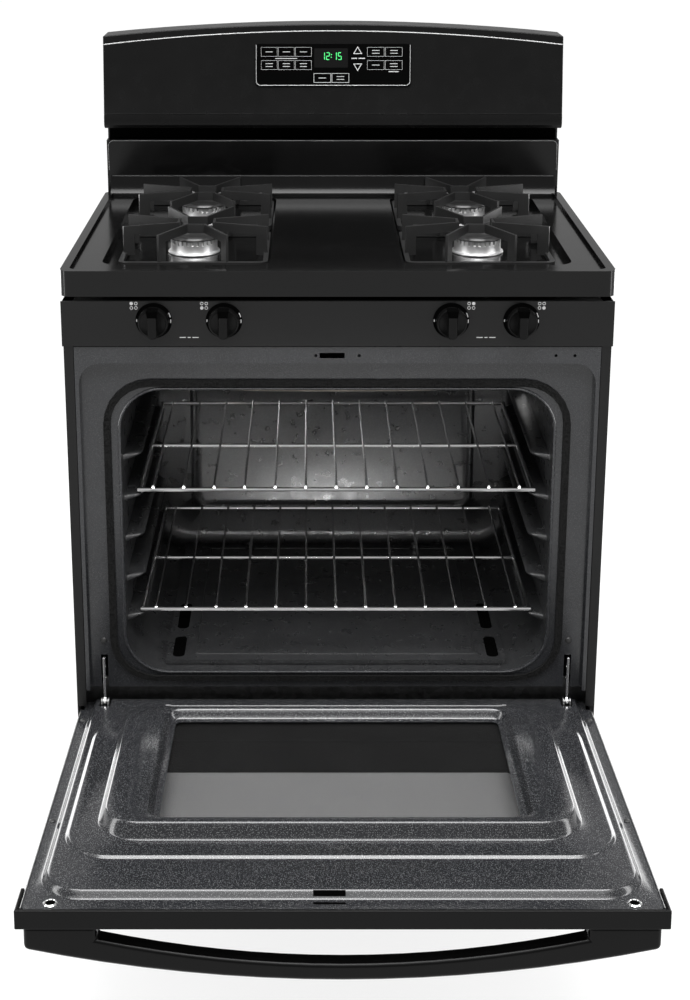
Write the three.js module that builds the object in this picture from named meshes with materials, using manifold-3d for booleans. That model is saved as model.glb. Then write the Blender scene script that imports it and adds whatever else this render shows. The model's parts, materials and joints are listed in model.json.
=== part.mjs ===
// Freestanding 30-inch gas range with its oven door open, in millimetres, +Z up.
//
// Everything is drawn in the range's own frame: x to the right as seen from the front, y backwards
// from the front plane (the face of the control panel), z up from the floor. The door is drawn
// closed, about its hinge axis, and turned open in a nested group. The last group moves the whole
// range so that its origin is the bottom centre of its bounding box.

import * as THREE from 'three';
import { mergeVertices } from 'three/addons/utils/BufferGeometryUtils.js';
import Module from 'manifold-3d';

const wasm = await Module();
wasm.setup();

// ---------------------------------------------------------------- driving dimensions

const BODY_HALF = 377;          // half width over the side panels
const BODY_DEPTH = 622;         // front plane to the wall side of the rear panel
const COOKTOP_HALF = 379.5;
const COOKTOP_TOP = 914;        // 36 in working height
const COOKTOP_DEPTH = 551.5;
const OVERALL_HEIGHT = 1191;    // crown of the backguard
const SHEET = 1.5;              // pressed steel sheet
const GAP = 0.3;                // space left between neighbouring pieces

const PANEL_HALF = 378.5;       // knob panel
const PANEL_BOTTOM = 808;
const PANEL_TOP = 872;
const KNOB_CENTRES = [-251.5, -155.4, 155.4, 251.5];
const KNOB_HEIGHT = 845;
const KNOB_RADIUS = 25;
const KNOB_TRAVEL = 3.5;
const STEM_RADIUS = 4;

const FRAME_HALF = 363;         // oven front frame
const FRAME_BOTTOM = 285;
const FIELD_DEPTH = 13;         // how far the frame's inner field lies behind its rim
const CAVITY_HALF = 304;        // inside of the oven
const CAVITY_BOTTOM = 310;
const CAVITY_TOP = 741;
const CAVITY_REAR = 478.5;
const CAVITY_CORNER = 60;

const RACK_LEVELS = [0, 1, 2, 3, 4].map((i) => 385.5 + 62.3 * i);   // tops of the rack guides
const RACK_HALF = 286.5;
const RACK_FRONT = 55;
const RACK_REAR = 445;
const RACK_WIRES = 13;
const RACK_PITCH = 44;
const RAIL_RADIUS = 3.2;
const WIRE_RADIUS = 2;

const BURNER_X = 208;
const BURNER_ROWS = [192, 427];
const GRATE_X = 203.5;
const GRATE_WIDTH = 212;
const GRATE_LENGTH = 203;
const GRATE_TOP = 943;
const BASIN_FLOOR = 896;

const HINGE_Y = 7;              // door hinge axis, parallel to x
const HINGE_Z = 263.6;
const HINGE_X = 337;            // the two hinges, left and right
const DOOR_OPEN_ANGLE = 86.3;   // degrees from closed
const DOOR_HALF = 373;
const DOOR_LENGTH = 540.4;      // hinge axis to the top edge
const DOOR_FOOT = 25;           // hinge axis to the bottom edge
const FLANGE = 10;              // hinge axis to the liner's flange, outwards
const DOOR_FACE = 33;           // hinge axis to the outer face
const HANDLE_REACH = 70;        // outer face to the front of the handle's bow

const DRAWER_BOTTOM = 50;
const DRAWER_TOP = 224;

const CONSOLE_BOTTOM = 1023;    // control console of the backguard
const CONSOLE_HALF = 377;
const CONSOLE_END_TOP = 1172;   // height of the crowned top at its ends
const CONSOLE_LIP = 532;        // front of its lower lip
const CONSOLE_BREAK = 1047;     // where the lip becomes the leaning face
const CONSOLE_WALL = 3;
const SPLASH_Y = 552;
const SPLASH_TOP = 1001;

// ---------------------------------------------------------------- solids

function toSolid(geometry) {
  const bare = geometry.clone();
  bare.deleteAttribute('normal');
  bare.deleteAttribute('uv');
  const merged = mergeVertices(bare, 1e-4);
  return new wasm.Manifold(new wasm.Mesh({
    numProp: 3,
    vertProperties: new Float32Array(merged.attributes.position.array),
    triVerts: new Uint32Array(merged.index.array),
  }));
}

function toGeometry(solid) {
  const { vertProperties, triVerts } = solid.getMesh();
  const geometry = new THREE.BufferGeometry();
  geometry.setAttribute('position', new THREE.BufferAttribute(vertProperties, 3));
  geometry.setIndex(new THREE.BufferAttribute(triVerts, 1));
  return geometry;
}

const join = (...solids) => solids.reduce((a, b) => a.add(b));
const cut = (solid, ...tools) => tools.reduce((a, b) => a.subtract(b), solid);

function block([x0, x1], [y0, y1], [z0, z1]) {
  const geometry = new THREE.BoxGeometry(x1 - x0, y1 - y0, z1 - z0);
  geometry.translate((x0 + x1) / 2, (y0 + y1) / 2, (z0 + z1) / 2);
  return toSolid(geometry);
}

// A shape drawn across an axis, extruded along it. Across x it is drawn in (y, z), across y in
// (x, z), and across z in (x, y).
function prism(shape, axis, from, to, curveSegments = 3) {
  const geometry = new THREE.ExtrudeGeometry(shape, {
    depth: to - from, bevelEnabled: false, curveSegments,
  });
  if (axis === 'x') {
    geometry.applyMatrix4(new THREE.Matrix4().makeBasis(
      new THREE.Vector3(0, 1, 0), new THREE.Vector3(0, 0, 1), new THREE.Vector3(1, 0, 0)));
    geometry.translate(from, 0, 0);
  } else if (axis === 'y') {
    geometry.rotateX(Math.PI / 2);
    geometry.translate(0, to, 0);
  } else {
    geometry.translate(0, 0, from);
  }
  return toSolid(geometry);
}

const outline = (points) => new THREE.Shape(points.map(([a, b]) => new THREE.Vector2(a, b)));

function roundedRect(a0, a1, b0, b1, r) {
  const shape = new THREE.Shape();
  shape.moveTo(a0 + r, b0);
  shape.lineTo(a1 - r, b0);
  shape.absarc(a1 - r, b0 + r, r, -Math.PI / 2, 0);
  shape.lineTo(a1, b1 - r);
  shape.absarc(a1 - r, b1 - r, r, 0, Math.PI / 2);
  shape.lineTo(a0 + r, b1);
  shape.absarc(a0 + r, b1 - r, r, Math.PI / 2, Math.PI);
  shape.lineTo(a0, b0 + r);
  shape.absarc(a0 + r, b0 + r, r, Math.PI, 1.5 * Math.PI);
  return shape;
}

function disc(a, b, r) {
  const shape = new THREE.Shape();
  shape.absarc(a, b, r, 0, 2 * Math.PI);
  return shape;
}

const cylinder = (axis, [a, b], r, from, to, sides = 16) => (
  prism(disc(a, b, r), axis, from, to, sides / 2));

// A round bar from one point to another.
function rod(start, end, radius, sides = 8) {
  const from = new THREE.Vector3(...start);
  const along = new THREE.Vector3(...end).sub(from);
  const geometry = new THREE.CylinderGeometry(radius, radius, along.length(), sides);
  geometry.translate(0, along.length() / 2, 0);
  geometry.applyQuaternion(new THREE.Quaternion().setFromUnitVectors(
    new THREE.Vector3(0, 1, 0), along.normalize()));
  geometry.translate(...start);
  return toSolid(geometry);
}

// A pipe through a list of points, with rounded bends.
function pipe(points, radius, steps = 36, sides = 8) {
  const path = new THREE.CatmullRomCurve3(
    points.map((p) => new THREE.Vector3(...p)), false, 'catmullrom', 0.15);
  return toSolid(new THREE.ExtrudeGeometry(disc(0, 0, radius), {
    extrudePath: path, steps, bevelEnabled: false, curveSegments: sides / 2,
  }));
}

// A profile of [radius, height] points turned about a vertical axis through (x, y).
function turned(profile, x, y, segments = 24) {
  const geometry = new THREE.LatheGeometry(
    profile.map(([r, z]) => new THREE.Vector2(r, z)), segments);
  geometry.rotateX(Math.PI / 2);
  geometry.translate(x, y, 0);
  return toSolid(geometry);
}

// A flat upright bar standing on the line from a to b in plan.
function uprightBar([ax, ay], [bx, by], thickness, [z0, z1]) {
  const length = Math.hypot(bx - ax, by - ay);
  const [ux, uy] = [(bx - ax) / length, (by - ay) / length];
  const h = thickness / 2;
  const corners = [[-h, -h], [length + h, -h], [length + h, h], [-h, h]];
  return prism(outline(corners.map(([s, t]) => [
    ax + s * ux - t * uy, ay + s * uy + t * ux])), 'z', z0, z1);
}

const mirrored = (solid) => solid.mirror([1, 0, 0]);

// ---------------------------------------------------------------- finishes

const FINISHES = {
  black_enamel: { color: 0x0b0b0c, roughness: 0.18, metalness: 0 },
  black_paint: { color: 0x111112, roughness: 0.4, metalness: 0 },
  speckled_porcelain: { color: 0x3a3c42, roughness: 0.35, metalness: 0 },
  oven_porcelain: { color: 0x232427, roughness: 0.35, metalness: 0 },
  grate_enamel: { color: 0x141415, roughness: 0.5, metalness: 0 },
  black_plastic: { color: 0x0c0c0d, roughness: 0.25, metalness: 0 },
  black_glass: { color: 0x060607, roughness: 0.08, metalness: 0 },
  window_glass: { color: 0x1a1b1d, roughness: 0.08, metalness: 0 },
  lamp_glass: { color: 0xd8d8d0, roughness: 0.15, metalness: 0 },
  chrome: { color: 0xd2d2d2, roughness: 0.15, metalness: 1 },
  galvanised: { color: 0x9a9c9e, roughness: 0.45, metalness: 1 },
  burner_aluminium: { color: 0xbdbdbd, roughness: 0.35, metalness: 1 },
  burner_steel: { color: 0x77736c, roughness: 0.45, metalness: 1 },
  brass: { color: 0xb99a55, roughness: 0.35, metalness: 1 },
  seal_fibre: { color: 0x1b1b1c, roughness: 0.95, metalness: 0 },
};

const range = new THREE.Group();

function piece(name, solid, finish, parent = range) {
  const mesh = new THREE.Mesh(toGeometry(solid), new THREE.MeshStandardMaterial(FINISHES[finish]));
  mesh.name = name;
  parent.add(mesh);
  return mesh;
}

const SIDES = [['left', -1], ['right', 1]];

// ---------------------------------------------------------------- body

const PANEL_FOOT = 40;
const FRONT_STRIP = 13.4;       // visible front edge of each side panel
const REAR_STRIP = 15;
const REAR_PANEL_Y = BODY_DEPTH - SHEET;
const DOOR_POCKET_Y = 46;       // space behind the front plane for the foot of the open door
const DOOR_POCKET_TOP = 260;
const SHELF = 222;              // plate between the oven burner and the drawer

function sidePanel() {
  const [outer, inner] = [BODY_HALF, BODY_HALF - SHEET];
  const rear = REAR_PANEL_Y - GAP;
  const section = outline([
    [outer - FRONT_STRIP, 0], [outer, 0], [outer, rear], [outer - REAR_STRIP, rear],
    [outer - REAR_STRIP, rear - SHEET], [inner, rear - SHEET], [inner, SHEET],
    [outer - FRONT_STRIP, SHEET]]);
  const notch = block([outer - 20, inner - 0.2], [-1, SHEET + 1], [SHELF, DOOR_POCKET_TOP]);
  return cut(prism(section, 'z', PANEL_FOOT, PANEL_TOP), notch);
}

piece('side_panel_right', sidePanel(), 'black_paint');
piece('side_panel_left', mirrored(sidePanel()), 'black_paint');

// The crowned outline of the console, drawn in (x, z), set in by a margin.
function crownedOutline(bottom, margin) {
  const half = CONSOLE_HALF - margin;
  const rise = OVERALL_HEIGHT - CONSOLE_END_TOP;
  const radius = (CONSOLE_HALF ** 2 + rise ** 2) / (2 * rise);
  const centre = OVERALL_HEIGHT - radius;
  const reach = Math.asin(half / (radius - margin));
  const shape = new THREE.Shape();
  shape.moveTo(-half, bottom);
  shape.lineTo(half, bottom);
  shape.absarc(0, centre, radius - margin, Math.PI / 2 - reach, Math.PI / 2 + reach);
  return shape;
}

const RAIL_SECTION = { bottom: 42, top: 58 };
const LEG_X = 362;
const LEG_ROWS = [70, 570];
const LEG_STEM = 5;
const BASE_HALF = 373;
const BASE_REAR = 600;
const INLET = { centre: [-250, 160], radius: 14 };      // where the power cord enters

piece('rear_panel', cut(
  prism(crownedOutline(60, 4), 'y', REAR_PANEL_Y, BODY_DEPTH, 16),
  cylinder('y', INLET.centre, INLET.radius + 0.5, REAR_PANEL_Y - 1, BODY_DEPTH + 1)), 'galvanised');

function baseFrame() {
  const { bottom, top } = RAIL_SECTION;
  const parts = [
    block([-BASE_HALF, BASE_HALF], [DOOR_POCKET_Y, BASE_REAR], [SHELF, SHELF + SHEET]),
    block([-BASE_HALF, BASE_HALF], [DOOR_POCKET_Y, DOOR_POCKET_Y + SHEET],
      [SHELF, FRAME_BOTTOM - GAP]),
    block([-BASE_HALF, BASE_HALF], [BASE_REAR - SHEET, BASE_REAR], [bottom, SHELF + 1]),
    block([-BASE_HALF, BASE_HALF], [20, 34], [bottom, top]),
  ];
  for (const side of [-1, 1]) {
    const span = (a, b) => [Math.min(side * a, side * b), Math.max(side * a, side * b)];
    parts.push(block(span(350, BASE_HALF), [20, BASE_REAR], [bottom, top]));
    parts.push(block(span(BASE_HALF - 3, BASE_HALF), [DOOR_POCKET_Y, BASE_REAR],
      [bottom, SHELF + 1]));
  }
  const legHoles = SIDES.flatMap(([, side]) => LEG_ROWS.map((y) => (
    cylinder('z', [side * LEG_X, y], LEG_STEM + 0.5, bottom - 1, top + 1, 12))));
  return cut(join(...parts), ...legHoles);
}

piece('base_frame', baseFrame(), 'galvanised');

for (const [side, sign] of SIDES) {
  LEG_ROWS.forEach((y, row) => piece(
    `leveling_leg_${row ? 'rear' : 'front'}_${side}`,
    turned([[0, 0], [15, 0], [15, 6], [11, 9], [LEG_STEM, 9], [LEG_STEM, 80], [0, 80]],
      sign * LEG_X, y, 12),
    'black_plastic'));
}

piece('cord_gland', join(
  cylinder('y', INLET.centre, INLET.radius, REAR_PANEL_Y - 4, BODY_DEPTH - 0.4),
  cylinder('y', INLET.centre, INLET.radius + 3, REAR_PANEL_Y - 8, REAR_PANEL_Y - GAP)),
'black_plastic');

// ---------------------------------------------------------------- oven

const FIELD_HALF = 357.5;
const FIELD_TOP = 782.6;
const FRAME_TOP = PANEL_BOTTOM - 1.5;

function ovenFrontFrame() {
  const back = FIELD_DEPTH + SHEET;
  const fieldOutline = (margin) => roundedRect(-FIELD_HALF - margin, FIELD_HALF + margin,
    FRAME_BOTTOM - 40, FIELD_TOP + margin, 30 + margin);
  const rim = cut(
    block([-FRAME_HALF, FRAME_HALF], [0, SHEET], [FRAME_BOTTOM, FRAME_TOP]),
    prism(fieldOutline(0), 'y', -1, SHEET + 1));
  const step = cut(
    prism(fieldOutline(SHEET), 'y', 0, back),
    prism(fieldOutline(0), 'y', -1, FIELD_DEPTH));
  const underFrame = block([-400, 400], [-2, back + 1], [FRAME_BOTTOM - 60, FRAME_BOTTOM]);
  const foot = block([-FIELD_HALF, FIELD_HALF], [FIELD_DEPTH, DOOR_POCKET_Y],
    [FRAME_BOTTOM, FRAME_BOTTOM + SHEET]);
  const ovenMouth = prism(roundedRect(-CAVITY_HALF + 0.5, CAVITY_HALF - 0.5,
    CAVITY_BOTTOM + 0.5, CAVITY_TOP - 0.5, CAVITY_CORNER), 'y', -1, back + 1);
  const latchSlot = block([-24.6, 9.9], [-1, back + 1], [790, 798]);
  const hingeSlots = SIDES.map(([, sign]) => block(
    [sign * HINGE_X - 5, sign * HINGE_X + 5], [FIELD_DEPTH - 1, DOOR_POCKET_Y + 1],
    [FRAME_BOTTOM - 1, 336]));
  const pilotHoles = [-29.7, 30, 301, 327].map((x) => (
    cylinder('y', [x, 794], 2.2, -1, SHEET + 1, 8)));
  return cut(join(cut(join(rim, step), underFrame), foot),
    ovenMouth, latchSlot, ...hingeSlots, ...pilotHoles);
}

piece('oven_front_frame', ovenFrontFrame(), 'speckled_porcelain');

const GUIDE_NOSE = 278;         // how far in the rack guides reach
const GUIDE_HEIGHT = 10;

function ovenLiner() {
  const walls = cut(
    prism(roundedRect(-CAVITY_HALF - SHEET, CAVITY_HALF + SHEET, CAVITY_BOTTOM - SHEET,
      CAVITY_TOP + SHEET, CAVITY_CORNER + SHEET), 'y',
    FIELD_DEPTH + SHEET + GAP, CAVITY_REAR + SHEET),
    prism(roundedRect(-CAVITY_HALF, CAVITY_HALF, CAVITY_BOTTOM, CAVITY_TOP, CAVITY_CORNER),
      'y', 0, CAVITY_REAR));
  const guides = [];
  for (const level of RACK_LEVELS) {
    const guide = prism(outline([
      [CAVITY_HALF + 1, 42], [GUIDE_NOSE, 62], [GUIDE_NOSE, 442], [CAVITY_HALF + 1, 462]]),
    'z', level - GUIDE_HEIGHT, level);
    guides.push(guide, mirrored(guide));
  }
  const rearScrews = [-110, 110].map((x) => (
    cylinder('y', [x, 520], 5, CAVITY_REAR - 4, CAVITY_REAR + 1, 8)));
  const ignitionPort = cylinder('y', [0, 322], 3, CAVITY_REAR - 1, CAVITY_REAR + 3, 8);
  return cut(join(walls, ...guides, ...rearScrews), ignitionPort);
}

piece('oven_liner', ovenLiner(), 'oven_porcelain');

function ovenFloorPanel() {
  const front = 32;
  const rear = 462;
  const top = 318;
  const half = 250;
  const plate = block([-half, half], [front, rear], [top - SHEET, top]);
  const frontRoll = block([-half, half], [front, front + SHEET], [CAVITY_BOTTOM + 1.6, top]);
  const rearRoll = block([-half, half], [rear - SHEET, rear], [CAVITY_BOTTOM + 1.6, top]);
  const slots = [];
  for (const sign of [-1, 1]) {
    for (const [y0, y1] of [[42, 110], [135, 225]]) {
      slots.push(prism(roundedRect(sign * 232 - 9, sign * 232 + 9, y0, y1, 8), 'z',
        top - 3, top + 1, 3));
    }
  }
  const thumbScrews = [-140, 140].map((x) => turned(
    [[0, top - 1], [9, top - 1], [9, top + 2], [5, top + 3], [5, top + 8], [0, top + 8]],
    x, 440, 12));
  return join(cut(join(plate, frontRoll, rearRoll), ...slots), ...thumbScrews);
}

piece('oven_floor_panel', ovenFloorPanel(), 'oven_porcelain');

const BAKE_HEIGHT = 266;
const BROIL_HEIGHT = 722;
piece('bake_burner', pipe([
  [-20, 560, BAKE_HEIGHT], [-20, 470, BAKE_HEIGHT], [-190, 440, BAKE_HEIGHT],
  [-190, 110, BAKE_HEIGHT], [190, 110, BAKE_HEIGHT], [190, 440, BAKE_HEIGHT],
  [60, 470, BAKE_HEIGHT]], 12), 'burner_steel');
piece('broil_burner', pipe([
  [-20, 472, BROIL_HEIGHT], [-20, 420, BROIL_HEIGHT], [-170, 400, BROIL_HEIGHT],
  [-170, 100, BROIL_HEIGHT], [170, 100, BROIL_HEIGHT], [170, 400, BROIL_HEIGHT],
  [60, 420, BROIL_HEIGHT]], 9), 'burner_steel');

function ovenLamp() {
  const lamp = turned([[0, 0], [22, 0], [22, 5], [17, 7], [16, 16], [11, 23], [0, 25]], 0, 0, 16);
  return lamp.rotate([0, -90, 0]).translate([CAVITY_HALF - GAP, 320, 661]);
}

piece('oven_lamp', ovenLamp(), 'lamp_glass');

const SEAL_OUTER = 327;
const SEAL_INNER = 317;
const SEAL_FRONT = 8.8;
piece('door_seal', cut(
  prism(roundedRect(-SEAL_OUTER, SEAL_OUTER, 296, 756, 66), 'y', SEAL_FRONT, FIELD_DEPTH - GAP),
  prism(roundedRect(-SEAL_INNER, SEAL_INNER, 304, 746, 56), 'y', 0, FIELD_DEPTH + 5)),
'seal_fibre');

function ovenRack(level) {
  const railZ = level + 0.4 + RAIL_RADIUS;
  const wireZ = railZ + RAIL_RADIUS + WIRE_RADIUS - 0.9;
  const railX = RACK_HALF - RAIL_RADIUS;
  const cross = (y, z, r) => rod([-RACK_HALF, y, z], [RACK_HALF, y, z], r);
  const parts = [
    cross(RACK_FRONT, railZ, RAIL_RADIUS),
    cross(240, railZ, RAIL_RADIUS - 0.4),
    cross(RACK_REAR, railZ, RAIL_RADIUS),
  ];
  for (const side of [-1, 1]) {
    const x = side * railX;
    parts.push(rod([x, RACK_FRONT, railZ], [x, RACK_REAR, railZ], RAIL_RADIUS));
  }
  for (let i = 0; i < RACK_WIRES; i += 1) {
    const x = (i - (RACK_WIRES - 1) / 2) * RACK_PITCH;
    parts.push(rod([x, RACK_FRONT, wireZ], [x, RACK_REAR + 1, wireZ], WIRE_RADIUS, 6));
  }
  return join(...parts);
}

piece('oven_rack_lower', ovenRack(RACK_LEVELS[0]), 'chrome');
piece('oven_rack_upper', ovenRack(RACK_LEVELS[3]), 'chrome');

// ---------------------------------------------------------------- cooktop and burners

const COOKTOP_SKIRT = 878;
const MARGIN_TOP = 908;
const ISLAND_HALF = 93.5;
const BASIN_OUTER = 330;
const BASIN_REAR = 534;
const RIDGE_TOP = 941;          // riser along the rear edge, in front of the splash panel
const HEAD_HOLE = 27;

function cooktop() {
  const rim = 12;
  const plan = (margin, r) => roundedRect(-COOKTOP_HALF + margin, COOKTOP_HALF - margin,
    margin, COOKTOP_DEPTH - margin, r);
  const rearRidge = prism(outline([
    [536, MARGIN_TOP - 2], [COOKTOP_DEPTH, MARGIN_TOP - 2], [COOKTOP_DEPTH, RIDGE_TOP],
    [547, RIDGE_TOP], [543.5, 926], [540, 919], [536, 912]]), 'x', -370, 370);
  const basin = prism(roundedRect(ISLAND_HALF, BASIN_OUTER, 60, BASIN_REAR, 25), 'z',
    BASIN_FLOOR, MARGIN_TOP + 1);
  const holes = [-1, 1].flatMap((side) => BURNER_ROWS.map((y) => (
    cylinder('z', [side * BURNER_X, y], HEAD_HOLE, 880, 900))));
  return cut(
    join(cut(prism(plan(0, 14), 'z', COOKTOP_SKIRT, COOKTOP_TOP),
      prism(plan(rim, 10), 'z', MARGIN_TOP, COOKTOP_TOP + 1)), rearRidge),
    prism(plan(2, 12), 'z', COOKTOP_SKIRT - 1, BASIN_FLOOR - 4),
    basin, mirrored(basin), ...holes);
}

piece('cooktop', cooktop(), 'black_enamel');

function burnerHead(x, y) {
  const seat = BASIN_FLOOR + GAP;
  const head = turned([
    [0, 878], [18, 878], [24, 886], [24, seat], [36, seat], [36, seat + 3], [33, seat + 4],
    [33, 917.5], [27, 917.5], [27, 911], [0, 911]], x, y);
  const igniter = rod([x, y + 34, seat + 1], [x, y + 38, 915], 1.8, 6);
  return join(head, igniter, block([x - 4, x + 4], [y + 30, y + 40], [seat, seat + 3]));
}

const burnerCap = (x, y) => turned([
  [0, 912], [24, 912], [24, 918], [36.5, 918], [36.5, 921.5], [33, 924], [20, 925.5],
  [0, 925.5]], x, y);

const BLADE = 3.6;
const BLADE_FOOT = 900;
const BLADE_HEIGHT = 13;        // of the part of a blade that spans from its leg to the centre
const GRATE_LEG = 18;           // how far in from the grate's edge the legs of its blades reach

// Two of the four blades of a grate lie across x and two across y: each rises on a leg from two
// places on the base ring, runs in, and turns across just short of the burner's centre.
function grateBlade(reach, spread, turn) {
  const nose = 26;
  const noseHalf = 13;
  const points = [[-spread, -reach], [-noseHalf, -nose], [noseHalf, -nose], [spread, -reach]];
  const bars = [0, 1, 2].map((i) => uprightBar(points[i], points[i + 1], BLADE,
    [BLADE_FOOT, GRATE_TOP]));
  return join(...bars).rotate([0, 0, turn]);
}

function grate(x, y) {
  const [halfX, halfY] = [GRATE_WIDTH / 2, GRATE_LENGTH / 2];
  const ring = cut(
    prism(roundedRect(-halfX, halfX, -halfY, halfY, 12), 'z', 897, 904, 2),
    prism(roundedRect(-halfX + 7, halfX - 7, -halfY + 7, halfY - 7, 6), 'z', 896, 905, 2));
  const feet = [-1, 1].flatMap((a) => [-1, 1].map((b) => cylinder(
    'z', [a * (halfX - 7), b * (halfY - 7)], 4, BASIN_FLOOR + GAP, 898, 8)));
  const blades = [
    grateBlade(halfY - 4, 48, 0), grateBlade(halfX - 4, 41, 90),
    grateBlade(halfY - 4, 48, 180), grateBlade(halfX - 4, 41, 270)];
  const archHalf = [halfX - GRATE_LEG, halfY - GRATE_LEG];
  const underBlades = block([-archHalf[0], archHalf[0]], [-archHalf[1], archHalf[1]],
    [BLADE_FOOT - 10, GRATE_TOP - BLADE_HEIGHT]);
  return cut(join(ring, ...feet, ...blades), underBlades).translate([x, y, 0]);
}

for (const [side, sign] of SIDES) {
  BURNER_ROWS.forEach((y, row) => {
    const place = `${row ? 'rear' : 'front'}_${side}`;
    piece(`burner_head_${place}`, burnerHead(sign * BURNER_X, y), 'burner_aluminium');
    piece(`burner_cap_${place}`, burnerCap(sign * BURNER_X, y), 'grate_enamel');
    piece(`grate_${place}`, grate(sign * GRATE_X, y), 'grate_enamel');
  });
}

// ---------------------------------------------------------------- knob panel and gas train

const PANEL_SHEET = 2;
const PANEL_RETURN = 40;        // how far the panel's folded edges run back

function controlPanel() {
  const returnHalf = BODY_HALF - 15;    // clear of the side panels' front strips
  const plate = block([-PANEL_HALF, PANEL_HALF], [0, PANEL_SHEET], [PANEL_BOTTOM, PANEL_TOP]);
  const returns = [PANEL_BOTTOM, PANEL_TOP - PANEL_SHEET].map((z) => (
    block([-returnHalf, returnHalf], [1, PANEL_RETURN], [z, z + PANEL_SHEET])));
  const stemHoles = KNOB_CENTRES.map((x) => (
    cylinder('y', [x, KNOB_HEIGHT], STEM_RADIUS + 2, -1, PANEL_SHEET + 1)));
  return cut(join(plate, ...returns), ...stemHoles);
}

const controlPanelMesh = piece('control_panel', controlPanel(), 'black_paint');
controlPanelMesh.position.y = -PANEL_SHEET - GAP;

const PIPE_Y = 62;
const PIPE_RADIUS = 9;
piece('manifold_pipe', pipe([
  [-290, PIPE_Y, KNOB_HEIGHT], [290, PIPE_Y, KNOB_HEIGHT], [340, PIPE_Y + 30, KNOB_HEIGHT],
  [345, 200, KNOB_HEIGHT], [345, 590, KNOB_HEIGHT]], PIPE_RADIUS), 'galvanised');

const VALVE_FRONT = 8;
const STEM_TIP = -20;
const STEM_END = 30;
KNOB_CENTRES.forEach((x, index) => {
  const number = index + 1;
  const valve = cut(join(
    block([x - 13, x + 13], [VALVE_FRONT + 6, PIPE_Y - PIPE_RADIUS - 1.2],
      [KNOB_HEIGHT - 15, KNOB_HEIGHT + 15]),
    cylinder('y', [x, KNOB_HEIGHT], 10, VALVE_FRONT, VALVE_FRONT + 8)),
  cylinder('y', [x, KNOB_HEIGHT], STEM_RADIUS + 0.4, VALVE_FRONT - 1, STEM_END + 2));
  piece(`gas_valve_${number}`, valve, 'brass');

  const stem = cylinder('y', [x, KNOB_HEIGHT], STEM_RADIUS, STEM_TIP, STEM_END);
  piece(`valve_stem_${number}`, stem, 'chrome');

  const base = -8;
  const knob = cut(join(
    cylinder('y', [x, KNOB_HEIGHT], KNOB_RADIUS, base - 9, base, 32),
    cylinder('y', [x, KNOB_HEIGHT], KNOB_RADIUS - 3, base - 12, base - 8, 32),
    prism(roundedRect(x - 5.5, x + 5.5, KNOB_HEIGHT - 23, KNOB_HEIGHT + 23, 4), 'y',
      base - 26, base - 8, 3)),
  cylinder('y', [x, KNOB_HEIGHT], STEM_RADIUS + 0.4, STEM_TIP - KNOB_TRAVEL - 1, base + 1));
  piece(`knob_${number}`, knob, 'black_plastic');
});

// ---------------------------------------------------------------- backguard

const FACE_LEAN = Math.atan2(21.5, OVERALL_HEIGHT - CONSOLE_BREAK);
const FACE_Y = CONSOLE_LIP + 2.5;      // the leaning face where it leaves the lip

const faceAt = (z) => FACE_Y + (z - CONSOLE_BREAK) * Math.tan(FACE_LEAN);

function consoleShell() {
  const rear = REAR_PANEL_Y - GAP;
  const outside = outline([
    [CONSOLE_LIP + 5, CONSOLE_BOTTOM], [rear, CONSOLE_BOTTOM], [rear, OVERALL_HEIGHT + 5],
    [faceAt(OVERALL_HEIGHT + 5), OVERALL_HEIGHT + 5], [FACE_Y, CONSOLE_BREAK],
    [CONSOLE_LIP, CONSOLE_BREAK - 6], [CONSOLE_LIP, CONSOLE_BOTTOM + 6]]);
  const inside = outline([
    [CONSOLE_LIP + 5 + CONSOLE_WALL, CONSOLE_BOTTOM + CONSOLE_WALL],
    [rear + 1, CONSOLE_BOTTOM + CONSOLE_WALL], [rear + 1, OVERALL_HEIGHT + 5],
    [faceAt(OVERALL_HEIGHT + 5) + CONSOLE_WALL, OVERALL_HEIGHT + 5],
    [FACE_Y + CONSOLE_WALL, CONSOLE_BREAK]]);
  const outer = prism(outside, 'x', -CONSOLE_HALF, CONSOLE_HALF)
    .intersect(prism(crownedOutline(CONSOLE_BOTTOM, 0), 'y', 500, 700, 16));
  const inner = prism(inside, 'x', -CONSOLE_HALF, CONSOLE_HALF)
    .intersect(prism(crownedOutline(CONSOLE_BOTTOM, CONSOLE_WALL), 'y', 500, 700, 16));
  return cut(outer, inner);
}

piece('console_shell', consoleShell(), 'black_plastic');

const GLASS_CENTRE = 1126;
const GLASS_HALF = 128;
const glass = piece('control_glass', prism(
  roundedRect(-GLASS_HALF, GLASS_HALF, -35, 35, 7), 'y', -2.5 - GAP, -GAP), 'black_glass');
glass.position.set(0, faceAt(GLASS_CENTRE), GLASS_CENTRE);
glass.rotation.x = -FACE_LEAN;

function splashPanel() {
  const half = 376;
  const recess = 576;
  const wall = 2;
  const sheet = prism(outline([
    [SPLASH_Y, PANEL_TOP + 2], [SPLASH_Y + wall, PANEL_TOP + 2],
    [SPLASH_Y + wall, SPLASH_TOP - wall],
    [recess + wall, SPLASH_TOP - wall], [recess + wall, CONSOLE_BOTTOM - GAP],
    [recess, CONSOLE_BOTTOM - GAP], [recess, SPLASH_TOP], [SPLASH_Y, SPLASH_TOP]]),
  'x', -half, half);
  const end = block([half - wall, half], [SPLASH_Y + wall / 2, REAR_PANEL_Y - GAP],
    [PANEL_TOP + 4, SPLASH_TOP - wall - 1]);
  const ventSlots = [-1, 1].map((side) => block(
    [side * 90 - 70, side * 90 + 70], [recess - 1, recess + wall + 1],
    [SPLASH_TOP + 6, CONSOLE_BOTTOM - 6]));
  return cut(join(sheet, end, mirrored(end)), ...ventSlots);
}

piece('splash_panel', splashPanel(), 'black_enamel');

// ---------------------------------------------------------------- door, drawn closed

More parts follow.
